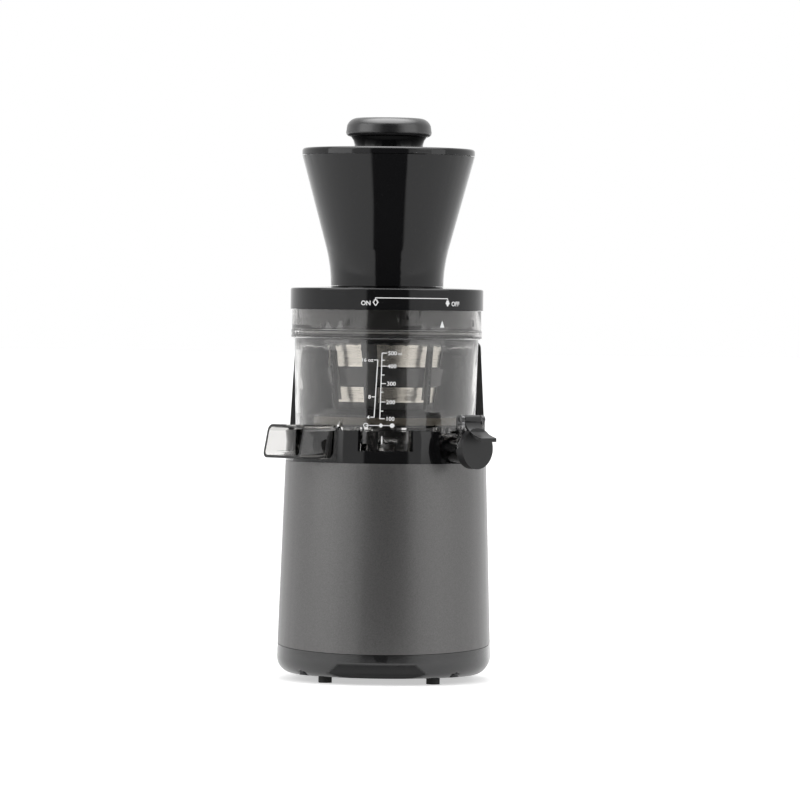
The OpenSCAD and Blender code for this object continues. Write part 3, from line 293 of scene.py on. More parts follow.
def graphite_paint():
    material, tree, shader, place = blank_material("graphite paint")
    flake = effect(tree, "flake", place, Flake_Scale=2600.0, Colour=tint("graphite"), Sparkle=0.35)
    grain = effect(tree, "grain", place, Grain_Scale=1800.0, Colour=flake.outputs["Colour"], Drift=0.05,
                   Roughness=0.36, Roughness_Drift=0.08)
    tree.links.new(grain.outputs["Colour"], shader.inputs["Base Color"])
    tree.links.new(grain.outputs["Roughness"], shader.inputs["Roughness"])
    shader.inputs["Metallic"].default_value = 0.55
    shader.inputs["Coat Weight"].default_value = 0.15
    shader.inputs["Coat Roughness"].default_value = 0.25
    bump(tree, shader, flake.outputs["Height"], 0.06, 0.0001)
    return material


def gloss_plastic(name, colour, rough=0.07, ior=1.5):
    material, tree, shader, place = blank_material(name)
    dust = effect(tree, "dust", place, Roughness=rough, Smear=0.05)
    grain = effect(tree, "grain", place, Grain_Scale=700.0, Colour=colour, Drift=0.2,
                   Roughness=dust.outputs["Roughness"], Roughness_Drift=0.02)
    pale = mix_colour(tree, math_node(tree, "MULTIPLY", dust.outputs["Specks"], 0.03),
                      grain.outputs["Colour"], (0.4, 0.4, 0.4))
    tree.links.new(pale, shader.inputs["Base Color"])
    tree.links.new(grain.outputs["Roughness"], shader.inputs["Roughness"])
    shader.inputs["IOR"].default_value = ior
    return material


def moulded_plastic(name, colour, rough, grain_scale, depth, drift=0.12, shine=0.5):
    material, tree, shader, place = blank_material(name)
    grain = effect(tree, "grain", place, Grain_Scale=grain_scale, Colour=colour, Drift=drift,
                   Roughness=rough, Roughness_Drift=0.1)
    tree.links.new(grain.outputs["Colour"], shader.inputs["Base Color"])
    tree.links.new(grain.outputs["Roughness"], shader.inputs["Roughness"])
    shader.inputs["Specular IOR Level"].default_value = shine
    bump(tree, shader, grain.outputs["Height"], depth, 0.00015)
    return material


def clear_plastic(name, colour):
    material, tree, shader, place = blank_material(name)
    dust = effect(tree, "dust", place, Roughness=0.02, Smear=0.03)
    grain = effect(tree, "grain", place, Grain_Scale=300.0, Drift_Scale=9.0, Colour=colour, Drift=0.03,
                   Roughness=dust.outputs["Roughness"], Roughness_Drift=0.01)
    tree.links.new(grain.outputs["Colour"], shader.inputs["Base Color"])
    tree.links.new(grain.outputs["Roughness"], shader.inputs["Roughness"])
    shader.inputs["Transmission Weight"].default_value = 1.0
    shader.inputs["IOR"].default_value = 1.585
    return material


def metal(name, colour, line_scale=1500.0, metallic=1.0, depth=0.12):
    material, tree, shader, place = blank_material(name)
    lines = effect(tree, "brushed", place, Line_Scale=line_scale, Colour=colour, Depth=depth)
    tree.links.new(lines.outputs["Colour"], shader.inputs["Base Color"])
    tree.links.new(lines.outputs["Roughness"], shader.inputs["Roughness"])
    shader.inputs["Metallic"].default_value = metallic
    bump(tree, shader, lines.outputs["Height"], 0.1, 0.00008)
    return material


def winding_copper():
    material, tree, shader, place = blank_material("enamelled copper")
    rings = tree.nodes.new("ShaderNodeTexWave")
    rings.wave_type = "RINGS"
    rings.rings_direction = "Z"
    rings.inputs["Scale"].default_value = 330.0
    rings.inputs["Distortion"].default_value = 1.2
    rings.inputs["Detail"].default_value = 2.0
    tree.links.new(place, rings.inputs["Vector"])
    tree.links.new(mix_colour(tree, rings.outputs["Fac"], (0.22, 0.07, 0.02), (0.62, 0.27, 0.1)),
                   shader.inputs["Base Color"])
    shader.inputs["Metallic"].default_value = 0.8
    shader.inputs["Roughness"].default_value = 0.32
    bump(tree, shader, rings.outputs["Fac"], 0.6, 0.0003)
    return material


def laminated_steel():
    material, tree, shader, place = blank_material("laminated core steel")
    parted = tree.nodes.new("ShaderNodeSeparateXYZ")
    tree.links.new(place, parted.inputs[0])
    sheet = math_node(tree, "FRACT", math_node(tree, "MULTIPLY", parted.outputs["Z"], 1600.0))
    seam = math_node(tree, "GREATER_THAN", sheet, 0.8)
    lines = effect(tree, "brushed", place, Line_Scale=900.0, Colour=(0.2, 0.2, 0.21))
    tree.links.new(mix_colour(tree, seam, lines.outputs["Colour"], (0.06, 0.055, 0.05)),
                   shader.inputs["Base Color"])
    shader.inputs["Metallic"].default_value = 0.85
    shader.inputs["Roughness"].default_value = 0.45
    bump(tree, shader, math_node(tree, "SUBTRACT", 1.0, seam), 0.4, 0.0002)
    return material


def circuit_board():
    material, tree, shader, place = blank_material("circuit board")
    bricks = tree.nodes.new("ShaderNodeTexBrick")
    bricks.inputs["Scale"].default_value = 140.0
    bricks.inputs["Mortar Size"].default_value = 0.035
    bricks.inputs["Color1"].default_value = (0.012, 0.10, 0.045, 1.0)
    bricks.inputs["Color2"].default_value = (0.015, 0.12, 0.05, 1.0)
    bricks.inputs["Mortar"].default_value = (0.05, 0.24, 0.1, 1.0)
    tree.links.new(place, bricks.inputs["Vector"])
    dust = effect(tree, "dust", place, Roughness=0.35, Smear=0.2)
    tree.links.new(bricks.outputs["Color"], shader.inputs["Base Color"])
    tree.links.new(dust.outputs["Roughness"], shader.inputs["Roughness"])
    return material


# name of a finish: how it is made
FINISHES = {
    "graphite": graphite_paint,
    "gloss": lambda: gloss_plastic("gloss black", tint("gloss"), 0.07, 1.4),
    "knob": lambda: gloss_plastic("knob black", tint("gloss", 2.0), 0.28, 1.6),
    "matt": lambda: moulded_plastic("matt black", tint("matt"), 0.22, 1500.0, 0.12, shine=0.8),
    "plug": lambda: moulded_plastic("plug black", (0.034, 0.033, 0.033), 0.3, 1300.0, 0.1),
    "clear": lambda: clear_plastic("clear smoke", tint("clear")),
    # the bowl's clear smoke darkened for the spout: painted shade
    "spout_painted_shade": lambda: clear_plastic("dark smoke", tint("spout")),
    "cap": lambda: moulded_plastic("cap black", tint("cap"), 0.33, 1300.0, 0.12, shine=0.35),
    # dark lines on the bowl's flange: painted reflection of the dark surroundings
    "seam": lambda: gloss_plastic("smoke seam", (0.02, 0.02, 0.02), 0.2),
    "strainer": lambda: moulded_plastic("strainer grey", tint("strainer"), 0.25, 1200.0, 0.08),
    "brush": lambda: moulded_plastic("brush grey", tint("strainer", 0.3), 0.25, 1200.0, 0.08),
    "screen": lambda: metal("screen steel", tint("screen"), 2400.0, 0.85, 0.2),
    "ivory": lambda: moulded_plastic("ivory", tint("ivory"), 0.35, 900.0, 0.08),
    # the gears' ivory at a third of its brightness: painted shade
    "dull_ivory": lambda: moulded_plastic("dull ivory", tint("ivory", 0.32), 0.35, 900.0, 0.08),
    "steel": lambda: metal("machined steel", (0.58, 0.585, 0.6)),
    "black_steel": lambda: metal("blackened steel", (0.05, 0.05, 0.052)),
    "bronze": lambda: metal("sintered bronze", (0.42, 0.27, 0.12), 700.0, 0.9, 0.3),
    "copper": winding_copper,
    "core": laminated_steel,
    "rubber": lambda: moulded_plastic("black rubber", (0.02, 0.02, 0.02), 0.75, 1100.0, 0.4),
    "silicone": lambda: moulded_plastic("soft silicone", (0.35, 0.35, 0.34), 0.85, 600.0, 0.04, 0.06),
    "gear": lambda: moulded_plastic("gear plastic", (0.55, 0.52, 0.44), 0.4, 900.0, 0.08),
    "auger": lambda: moulded_plastic("auger black", (0.03, 0.03, 0.032), 0.28, 500.0, 0.05),
    "box": lambda: moulded_plastic("gearbox grey", (0.09, 0.09, 0.095), 0.5, 1300.0, 0.3),
    "board": circuit_board,
    "sleeve": lambda: gloss_plastic("capacitor sleeve", (0.03, 0.04, 0.12), 0.3),
    "print": lambda: moulded_plastic("white print", tint("marking"), 0.5, 4000.0, 0.05, 0.06),
}
MADE = {}


def material_for(finish):
    """The material of a finish, made the first time it is asked for."""
    if finish not in MADE:
        MADE[finish] = FINISHES[finish]()
    return MADE[finish]


# ---- making pieces ------------------------------------------------------------

def body_of_node(node):
    return frame["nodes"][node]["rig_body"]


def welded(node, whole=True):
    """A bmesh copy of a CAD node, its loose triangles joined and, where asked, its flat faces whole."""
    bm = bmesh.new()
    bm.from_mesh(frame["nodes"][node].data)
    bmesh.ops.remove_doubles(bm, verts=bm.verts, dist=3e-6)
    if whole:
        bmesh.ops.dissolve_limit(bm, angle_limit=math.radians(0.3), use_dissolve_boundaries=False,
                                 verts=bm.verts, edges=bm.edges, delimit=set())
    return bm


def bevelled(bm, chosen, width, segments=2):
    """Rounds the chosen edges."""
    bmesh.ops.bevel(bm, geom=chosen, offset=width, offset_type="OFFSET", segments=segments, profile=0.5,
                    affect="EDGES", clamp_overlap=True, material=-1, loop_slide=True,
                    harden_normals=False, miter_outer="SHARP", miter_inner="SHARP")


def sharp_edges(bm, angle, test=lambda middle: True):
    """Edges whose faces meet at more than the angle and whose middle passes the test, in millimetres."""
    limit = math.radians(angle)
    return [e for e in bm.edges if len(e.link_faces) == 2 and e.calc_face_angle() > limit
            and test((e.verts[0].co + e.verts[1].co) / 2 / MM)]


def piece(bm, name, body, finish, smooth=32.0, nodes=()):
    """Turns a bmesh into a finished piece of the juicer that rides on a body."""
    mesh = bpy.data.meshes.new(name)
    bm.to_mesh(mesh)
    bm.free()
    mesh.shade_smooth()
    mesh.set_sharp_from_angle(angle=math.radians(smooth))
    obj = bpy.data.objects.new(name, mesh)
    bpy.context.scene.collection.objects.link(obj)
    obj.data.materials.append(material_for(finish))
    weighted = obj.modifiers.new("weighted normals", "WEIGHTED_NORMAL")
    weighted.keep_sharp = True
    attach(obj, body)
    if nodes:
        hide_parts(*nodes)
    return obj


def stand_for(node, finish, soften=None, smooth=32.0, whole=True):
    """A welded copy of a CAD node, softened where told, that stands for it."""
    bm = welded(node, whole)
    if soften:
        soften(bm)
    return piece(bm, node + "_finished", body_of_node(node), finish, smooth, (node,))


def dress(node, finish):
    """Gives a CAD node its finish."""
    mesh = frame["nodes"][node].data
    mesh.materials.clear()
    mesh.materials.append(material_for(finish))


def facing(angle):
    """Turns +X to the direction that lies that many degrees from the front, towards +X."""
    return Matrix.Rotation(math.radians(angle - 90), 4, "Z")


# ---- printed marks --------------------------------------------------------------

def wrapped(bm, radius_at, centre_angle, base_z):
    """Lays a flat drawing, in millimetres, round the juicer's axis: x along the wall, y up, z out."""
    for v in bm.verts:
        x, y, lift = v.co
        z = base_z + y
        radius = radius_at(z) + lift
        angle = math.radians(centre_angle) + x / radius_at(base_z)
        v.co = Vector((radius * math.sin(angle), -radius * math.cos(angle), z)) * MM


def drawn_bar(bm, start, end, width, thick):
    """Adds a printed line from start to end, in millimetres on the flat drawing."""
    a, b = Vector((*start, 0)), Vector((*end, 0))
    run = b - a
    bmesh.ops.create_cube(bm, size=1.0, matrix=(
        Matrix.Translation((a + b) / 2 + Vector((0, 0, thick / 2)))
        @ Matrix.Rotation(math.atan2(run.y, run.x), 4, "Z")
        @ Matrix.Diagonal((run.length, width, thick, 1.0))))


def drawn_shape(bm, points, thick):
    """Adds a filled printed shape with these corners."""
    face = bm.faces.new([bm.verts.new((x, y, 0)) for x, y in points])
    if face.normal.z < 0:
        face.normal_flip()
    grown = bmesh.ops.extrude_face_region(bm, geom=[face])
    up = [g for g in grown["geom"] if isinstance(g, bmesh.types.BMVert)]
    bmesh.ops.translate(bm, verts=up, vec=(0, 0, thick))


def drawn_disc(bm, centre, radius, thick):
    """Adds a filled printed circle."""
    bmesh.ops.create_cone(bm, cap_ends=True, segments=24, radius1=radius, radius2=radius, depth=thick,
                          matrix=Matrix.Translation((*centre, thick / 2)))


CAPITAL = 0.7            # height of a capital letter, as a share of the font's size


def drawn_text(bm, words, size, left, baseline, thick, align="LEFT"):
    """Adds lettering whose letters are size millimetres high."""
    curve = bpy.data.curves.new("lettering", "FONT")
    curve.body = words
    curve.size = size / CAPITAL
    curve.align_x = align
    curve.extrude = thick / 2
    curve.offset = size * 0.028
    curve.resolution_u = 3
    obj = bpy.data.objects.new("lettering", curve)
    bpy.context.scene.collection.objects.link(obj)
    bpy.context.view_layer.update()
    mesh = bpy.data.meshes.new_from_object(obj.evaluated_get(bpy.context.evaluated_depsgraph_get()))
    mesh.transform(Matrix.Translation((left, baseline, thick / 2)))
    bm.from_mesh(mesh)
    bpy.data.meshes.remove(mesh)
    bpy.data.objects.remove(obj)
    bpy.data.curves.remove(curve)


def finished_print(bm, name, body, radius_at, centre_angle, base_z):
    """Splits long lines so that they follow the wall, wraps the drawing and makes it a piece."""
    long_edges = [e for e in bm.edges if abs(e.verts[0].co.x - e.verts[1].co.x) > 1.5
                  and abs(e.verts[0].co.y - e.verts[1].co.y) < 2.0]
    if long_edges:
        bmesh.ops.subdivide_edges(bm, edges=long_edges, cuts=20, use_grid_fill=True)
    bmesh.ops.remove_doubles(bm, verts=bm.verts, dist=1e-4)
    wrapped(bm, radius_at, centre_angle, base_z)
    bmesh.ops.recalc_face_normals(bm, faces=bm.faces)
    return piece(bm, name, body, "print", 40.0)


# ---- operators --------------------------------------------------------------------

class JuicerPiece:
    bl_options = {"REGISTER", "UNDO"}


FRONTWARD = -0.95        # a face whose normal has less than this along Y looks to the front
ARCH_TOP = 16.0          # top of the skirt's front arch, in millimetres
ARCH_HALF = 45.0         # half of its width
SLEEVE_TOP = 201.4       # the housing's edges above this height are softened
COLLAR_TOP = 206.0       # the column's front faces stand above this height
COLUMN_Y = 15.0          # and behind this place
SWITCH_Y = 105.0         # the rocker's edges behind this place are softened


class JUICER_OT_base(JuicerPiece, bpy.types.Operator):
    """Makes the skirt, feet, graphite sleeve, collar and column"""
    bl_idname = "juicer.base"
    bl_label = "Base and housing"

    def execute(self, context):
        edge = context.scene.juicer_sizes.edge
        skirt = stand_for("bottom_cover", "matt")
        # the arch's front faces get the satin cap black, which shines less: painted shade in the recess
        # under the arch
        dull_faces(skirt, "cap", lambda m, n: n.y < FRONTWARD and m.z < ARCH_TOP and abs(m.x) < ARCH_HALF)
        stand_for("body_shell", "graphite")
        housing = stand_for("upper_housing", "gloss", lambda bm: bevelled(
            bm, sharp_edges(bm, 60, lambda m: m.z > SLEEVE_TOP), edge))
        dull_faces(housing, "plug", lambda m, n: n.y < FRONTWARD and m.z > COLLAR_TOP and m.y > COLUMN_Y)
        stand_for("rubber_feet", "rubber")
        dress("housing_screws", "black_steel")
        stand_for("switch_housing", "matt",
                  lambda bm: bevelled(bm, sharp_edges(bm, 60), edge))
        stand_for("rocker_switch", "gloss",
                  lambda bm: bevelled(bm, sharp_edges(bm, 20, lambda m: m.y > SWITCH_Y), edge))
        stand_for("cord_gland", "rubber",
                  lambda bm: bevelled(bm, sharp_edges(bm, 60), edge))
        return {"FINISHED"}


def dull_faces(obj, finish, test):
    """Gives the faces whose middle, in millimetres, and normal pass the test another finish; some callers
    paint shade with a darker finish this way.
    """
    obj.data.materials.append(material_for(finish))
    for face in obj.data.polygons:
        if test(face.center / MM, face.normal):
            face.material_index = len(obj.data.materials) - 1


class JUICER_OT_drive(JuicerPiece, bpy.types.Operator):
    """Finishes the motor, gearbox, shaft and electrics inside the base"""
    bl_idname = "juicer.drive"
    bl_label = "Motor and gearbox"

    def execute(self, context):
        for node, finish in DRIVE_FINISHES.items():
            dress(node, finish)
        return {"FINISHED"}


DRIVE_FINISHES = {
    "motor_mounts": "rubber", "lower_motor_bracket": "steel", "motor_stator": "core",
    "motor_windings": "copper", "upper_motor_bracket": "steel", "motor_bearings": "steel",
    "rotor_core": "core", "motor_shaft": "steel", "cooling_fan": "matt", "motor_pinion": "steel",
    "gearbox_housing": "box", "gearbox_cover": "box", "gearbox_screws": "steel",
    "gear_bushes": "bronze", "layshaft_pin": "steel", "layshaft_gear": "gear",
    "output_gear": "steel", "drive_shaft": "steel", "shaft_seal": "rubber",
    "control_board": "board", "capacitor": "sleeve", "interlock_sensor": "matt",
}


SPOUT_TURN = 45.0        # where the juice spout points, in degrees from the front towards +X
SPOUT_FROM = 74.5        # how far from the axis its painted shade starts, in millimetres
SPOUT_TOP = 220.0        # and how high that part reaches


class JUICER_OT_bowl(JuicerPiece, bpy.types.Operator):
    """Makes the clear bowl with its chute and spout, its seal and the pulp lever"""
    bl_idname = "juicer.bowl"
    bl_label = "Clear bowl"

    def execute(self, context):
        outward = facing(SPOUT_TURN) @ Vector((1, 0, 0))
        # clear walls bend what is behind them, so the bowl keeps its small triangles and gentle edges
        bowl = stand_for("bowl", "clear", smooth=14.0, whole=False)
        # the spout's faces get the darker smoke: painted shade for the black housing seen through them
        dull_faces(bowl, "spout_painted_shade", lambda m, n: m.dot(outward) > SPOUT_FROM and m.z < SPOUT_TOP)
        flange_seams()
        dress("bowl_seal", "silicone")
        stand_for("control_lever", "clear")
        return {"FINISHED"}


FLANGE_R = 76.5          # outside of the bowl's flange, in millimetres
# heights of the painted dark reflection lines
DARK_LINE_HEIGHTS = (275.5, 280.2)


def flange_seams():
    """Two fine dark lines round the bowl's flange: a painted reflection of the dark surroundings in its
    lips.
    """
    bm = bmesh.new()
    profile = ((-0.1, -0.3), (0.08, -0.3), (0.08, 0.3), (-0.1, 0.3))
    for z in DARK_LINE_HEIGHTS:
        start = [bm.verts.new((FLANGE_R + x, 0, z + y)) for x, y in profile]
        edges = [bm.edges.new(pair) for pair in zip(start, start[1:] + start[:1])]
        bmesh.ops.spin(bm, geom=start + edges, cent=(0, 0, 0), axis=(0, 0, 1), angle=math.tau,
                       steps=128, use_merge=True)
    bmesh.ops.recalc_face_normals(bm, faces=bm.faces)
    bmesh.ops.scale(bm, vec=(MM, MM, MM), verts=bm.verts)
    piece(bm, "flange_seams", "bowl_unit", "seam", 40.0)


CAP_FACE = 104.5         # the cap's edges farther than this from the axis are softened


class JUICER_OT_outlet(JuicerPiece, bpy.types.Operator):
    """Makes the juice cap with its lever and hinge"""
    bl_idname = "juicer.outlet"
    bl_label = "Juice cap"

    def execute(self, context):
        edge = context.scene.juicer_sizes.edge
        stand_for("juice_cap", "cap",
                  lambda bm: bevelled(bm, sharp_edges(bm, 50, lambda m: m.xy.length > CAP_FACE), edge))
        dress("cap_gasket", "silicone")
        dress("cap_hinge_pin", "black_steel")
        return {"FINISHED"}


class JUICER_OT_juicing(JuicerPiece, bpy.types.Operator):
    """Makes the strainer, the brush, the auger and their gears"""
    bl_idname = "juicer.juicing"
    bl_label = "Juicing parts"

    def execute(self, context):
        stand_for("strainer_frame", "strainer")
        strainer_screens(context.scene.juicer_sizes.screen_pitch / MM)
        stand_for("brush_frame", "brush")
        dress("wiper_blades", "silicone")
        # the ring gear takes the darkened ivory: painted shade where it sits deep in the bowl
        stand_for("brush_ring_gear", "dull_ivory")
        for node in ("idler_gear", "auger_gear"):
            stand_for(node, "ivory")
        dress("idler_pin", "matt")
        dress("auger_screw", "auger")
        dress("auger_pin", "steel")
        return {"FINISHED"}


SCREEN_TOP = 272.0       # where the strainer's screens are widest, in millimetres
SCREEN_R = 47.85         # middle radius of the screens there
SCREEN_TAPER = 0.1458    # how much they narrow for each millimetre down
SCREEN_ROWS = ((251.9, 271.3), (223.6, 235.6))   # lowest and highest point of each row
SCREEN_FIRST = -58.0     # middle of the first screen, in degrees from +X
SCREEN_HALF = 37.4       # half of a screen's sweep, in degrees
BAR_SHARE = 0.84         # width of a bar, as a share of the pitch
END_BAR = 1.1            # width of the bar at each end of a screen
RAIL = 1.4               # height of the band at the top and bottom of a screen
CROSS_LINE = 0.35        # height of the line across its middle


def cone_r(z):
    """Middle radius of the strainer's screens at a height, in millimetres."""
    return SCREEN_R - (SCREEN_TOP - z) * SCREEN_TAPER


def screen_bars(bm, centre, low, high, pitch):
    """Upright bars of one screen, with a wider one at each end."""
    middle = (low + high) / 2
    radius = cone_r(middle)
    lean = math.atan(SCREEN_TAPER)
    tall = (high - low) / math.cos(lean)
    half = math.radians(SCREEN_HALF)
    count = int(2 * half * radius / pitch)
    bars = [(centre - half + (i + 0.5) * 2 * half / count, pitch * BAR_SHARE, 0.3) for i in range(count)]
    bars += [(centre + side * (half - math.radians(0.6)), END_BAR, 0.6) for side in (-1, 1)]
    for angle, width, deep in bars:
        bmesh.ops.create_cube(bm, size=1.0, matrix=(
            Matrix.Rotation(angle, 4, "Z") @ Matrix.Translation((radius, 0, middle))
            @ Matrix.Rotation(lean, 4, "Y") @ Matrix.Diagonal((deep, width, tall, 1.0))))


def screen_hoop(bm, centre, z, wide):
    """A flat band along one screen at a height."""
    half = math.radians(SCREEN_HALF)
    profile = ((-0.3, -wide / 2), (0.3, -wide / 2), (0.3, wide / 2), (-0.3, wide / 2))
    start = [bm.verts.new((cone_r(z) + x, 0, z + y)) for x, y in profile]
    face = bm.faces.new(start)
    bmesh.ops.rotate(bm, verts=start, matrix=Matrix.Rotation(centre - half, 3, "Z"), cent=(0, 0, 0))
    made = bmesh.ops.spin(bm, geom=[face], cent=(0, 0, 0), axis=(0, 0, 1), angle=2 * half,
                          steps=20, use_duplicate=False)
    if not any(isinstance(g, bmesh.types.BMFace) for g in made["geom_last"]):
        raise RuntimeError("a screen's frame came out open")


def strainer_screens(pitch):
    """Fine upright bars in thin frames, one screen to each of the strainer's eight windows."""
    bm = bmesh.new()
    for low, high in SCREEN_ROWS:
        for window in range(4):
            centre = math.radians(SCREEN_FIRST + 90 * window)
            screen_bars(bm, centre, low, high, pitch)
            screen_hoop(bm, centre, low + RAIL / 2, RAIL)
            screen_hoop(bm, centre, high - RAIL / 2, RAIL)
            screen_hoop(bm, centre, (low + high) / 2, CROSS_LINE)
    bmesh.ops.recalc_face_normals(bm, faces=bm.faces)
    bmesh.ops.scale(bm, vec=(MM, MM, MM), verts=bm.verts)
    piece(bm, "strainer_screens", "bowl_unit", "screen", 40.0, ("strainer_mesh",))


LID_FOOT = 296.5         # the lid's faces below this height hardly shine, in millimetres


class JUICER_OT_lid(JuicerPiece, bpy.types.Operator):
    """Makes the twist-on lid, its ring seal, bush and magnet"""
    bl_idname = "juicer.lid"
    bl_label = "Lid"

    def execute(self, context):
        dull_faces(stand_for("lid", "gloss"), "plug", lambda m, n: m.z < LID_FOOT)
        dress("lid_seal", "silicone")
        dress("lid_bush", "bronze")
        dress("interlock_magnet", "steel")
        return {"FINISHED"}


class JUICER_OT_funnel(JuicerPiece, bpy.types.Operator):
    """Makes the funnel, its cover and the pusher"""
    bl_idname = "juicer.funnel"
    bl_label = "Funnel and pusher"

    def execute(self, context):
        for node in ("hopper", "hopper_lid", "pusher_stem"):
            stand_for(node, "gloss")
        stand_for("pusher_knob", "knob")
        return {"FINISHED"}


class JUICER_OT_marks(JuicerPiece, bpy.types.Operator):
    """Prints the lid's turning marks and the bowl's measuring scale"""
    bl_idname = "juicer.marks"
    bl_label = "Printed marks"

    def execute(self, context):
        sizes = context.scene.juicer_sizes
        stroke, thick = sizes.stroke / MM, sizes.print_t / MM
        lid_marks(stroke, thick)
        bowl_scale(stroke, thick)
        return {"FINISHED"}


LID_R = 77.47            # outside of the lid, in millimetres
LEVER_R = 78.62          # outside of the control lever's cover
COLLAR_R = 76.12         # outside of the bowl's collar under the lid
WALL_Z, WALL_R = 201.5, 72.42   # foot of the bowl's wall, and its outside there
WALL_FLARE = 1.45 / 72.0        # how much the wall widens for each millimetre up
ON_AT, OFF_AT = -3.2, 41.8      # the lid's two words, in degrees from the front towards +X
LID_PRINT_Z = 303.4      # height of their line's drawing
MARK_AT, MARK_Z = 38.7, 283.6   # the bowl's triangle
POINTER_AT, POINTER_Z = 1.4, 194.2   # the control lever's line
SCALE_ML = ((500, 263.0), (400, 252.7), (300, 238.9), (200, 224.3), (100, 211.1))   # and heights
SCALE_HALVES = (257.4, 245.7, 232.1, 217.1)
SCALE_OZ = (("16 oz", 257.5), ("8", 228.3), ("4", 212.2))
SYMBOLS_Z = 205.7        # height of the row of symbols for the control lever
SYMBOLS_X = (-10.7, 0.6, 9.0)


def bowl_wall_r(z):
    """Outer radius of the bowl at a height, in millimetres."""
    return WALL_R + (z - WALL_Z) * WALL_FLARE


def lid_marks(stroke, thick):
    """ON and OFF with their arrows and the line between them."""
    bm = bmesh.new()
    along = math.radians(1) * LID_R
    on_x, off_x = ON_AT * along, OFF_AT * along
    drawn_bar(bm, (on_x, 3.2), (off_x, 3.2), stroke, thick)
    for x in (on_x, off_x):
        drawn_bar(bm, (x, 3.5), (x, 1.9), stroke, thick)
    arrow = [(-1.3, 1.7), (1.3, 1.7), (1.3, 0.0), (2.4, 0.0), (0.0, -3.2), (-2.4, 0.0), (-1.3, 0.0)]
    drawn_shape(bm, [(off_x + x, y) for x, y in reversed(arrow)], thick)
    for (x0, y0), (x1, y1) in zip(arrow, arrow[1:] + arrow[:1]):
        drawn_bar(bm, (on_x + x0 * 0.9, y0 * 0.92), (on_x + x1 * 0.9, y1 * 0.92), stroke, thick)
    drawn_text(bm, "ON", 3.5, on_x - 3.8, -2.6, thick, "RIGHT")
    drawn_text(bm, "OFF", 3.5, off_x + 4.0, -2.6, thick)
    finished_print(bm, "lid_turning_marks", "lid_unit", lambda z: LID_R, 0.0, LID_PRINT_Z)
    bm = bmesh.new()
    drawn_shape(bm, [(-2.2, 0.0), (2.2, 0.0), (0.0, 5.4)], thick)
    finished_print(bm, "bowl_turning_mark", "bowl_unit", lambda z: COLLAR_R, MARK_AT, MARK_Z)


def ruler(bm, marks, foot_x, lean, stroke, thick):
    """Draws the leaning line that runs through the marks, and returns where it is at a height."""
    low, high = marks[-1][1], marks[0][1]

    def line_x(z):
        return foot_x + lean * (z - low) / (high - low)

    drawn_bar(bm, (line_x(low), low - stroke / 2), (line_x(high), high + stroke / 2), stroke, thick)
    return line_x


def bowl_scale(stroke, thick):
    """Millilitres and ounces, the row of symbols for the control lever, and the lever's line."""
    bm = bmesh.new()
    right = ruler(bm, SCALE_ML, -0.2, 1.2, stroke, thick)
    for amount, z in SCALE_ML:
        drawn_bar(bm, (right(z), z), (right(z) + 3.6, z), stroke, thick)
        drawn_text(bm, str(amount), 3.1, right(z) + 4.3, z - 1.55, thick)
    top = SCALE_ML[0][1]
    drawn_text(bm, "ml", 2.1, right(top) + 11.6, top - 1.5, thick)
    for z in SCALE_HALVES:
        drawn_bar(bm, (right(z), z), (right(z) + 2.3, z), stroke, thick)
    left = ruler(bm, SCALE_OZ, -4.5, 2.4, stroke, thick)
    for words, z in SCALE_OZ:
        drawn_bar(bm, (left(z) - 2.8, z), (left(z), z), stroke, thick)
        drawn_text(bm, words, 2.8, left(z) - 3.4, z - 1.4, thick, "RIGHT")
    z = SYMBOLS_Z
    ring_x, diamond_x, dot_x = SYMBOLS_X
    drawn_bar(bm, (ring_x, z), (dot_x, z), stroke * 0.8, thick)
    spin = [math.radians(30 * i) for i in range(12)]
    for a, b in zip(spin, spin[1:] + spin[:1]):
        drawn_bar(bm, (ring_x + 1.7 * math.cos(a), z + 1.7 * math.sin(a)),
                  (ring_x + 1.7 * math.cos(b), z + 1.7 * math.sin(b)), stroke, thick)
    diamond = ((-1.9, 0), (0, -1.9), (1.9, 0), (0, 1.9))
    drawn_shape(bm, [(diamond_x + x, z + y) for x, y in diamond], thick)
    drawn_disc(bm, (dot_x, z), 1.8, thick)
    finished_print(bm, "bowl_scale", "bowl_unit", bowl_wall_r, 0.0, 0.0)
    bm = bmesh.new()
    drawn_bar(bm, (0.0, -3.2), (0.0, 3.2), stroke * 1.2, thick)
    finished_print(bm, "lever_pointer", "pulp_lever", lambda z: LEVER_R, POINTER_AT, POINTER_Z)


class JUICER_OT_stage(JuicerPiece, bpy.types.Operator):
    """Makes the floor, the soft light and the camera"""
    bl_idname = "juicer.stage"
    bl_label = "Stage"

    def execute(self, context):
        settings = context.scene.juicer_stage
        studio_floor()
        surroundings(settings)
        for side, share in ((-1, 1.3), (1, 0.85)):
            soft_light("side_light", (side * 1.9, -0.9, 1.1), (0, 0, 0.22), 1.6, settings.key * share)
        soft_light("top_light", (0.0, 0.2, 2.2), (0, 0, 0.2), 1.4, settings.key * 0.5)
        place_camera(settings)
        context.scene.view_settings.view_transform = "Standard"
        return {"FINISHED"}


ROOM_LEVEL = 0.06        # brightness of the dark room in front, which only reflections see
ROOM_SHARE = 0.48        # half width of that room, as a share of the distance forward
ROOM_STEEP = 1.4         # how steep a reflection may look up and still see it
ROOM_SKEW = 0.10         # how far its middle moves to the left for each metre forward
TABLE_EDGE = 0.3         # the white table's front edge, in metres from the juicer's axis
TABLE_HALF = 0.34        # least half width of the dark room on the floor


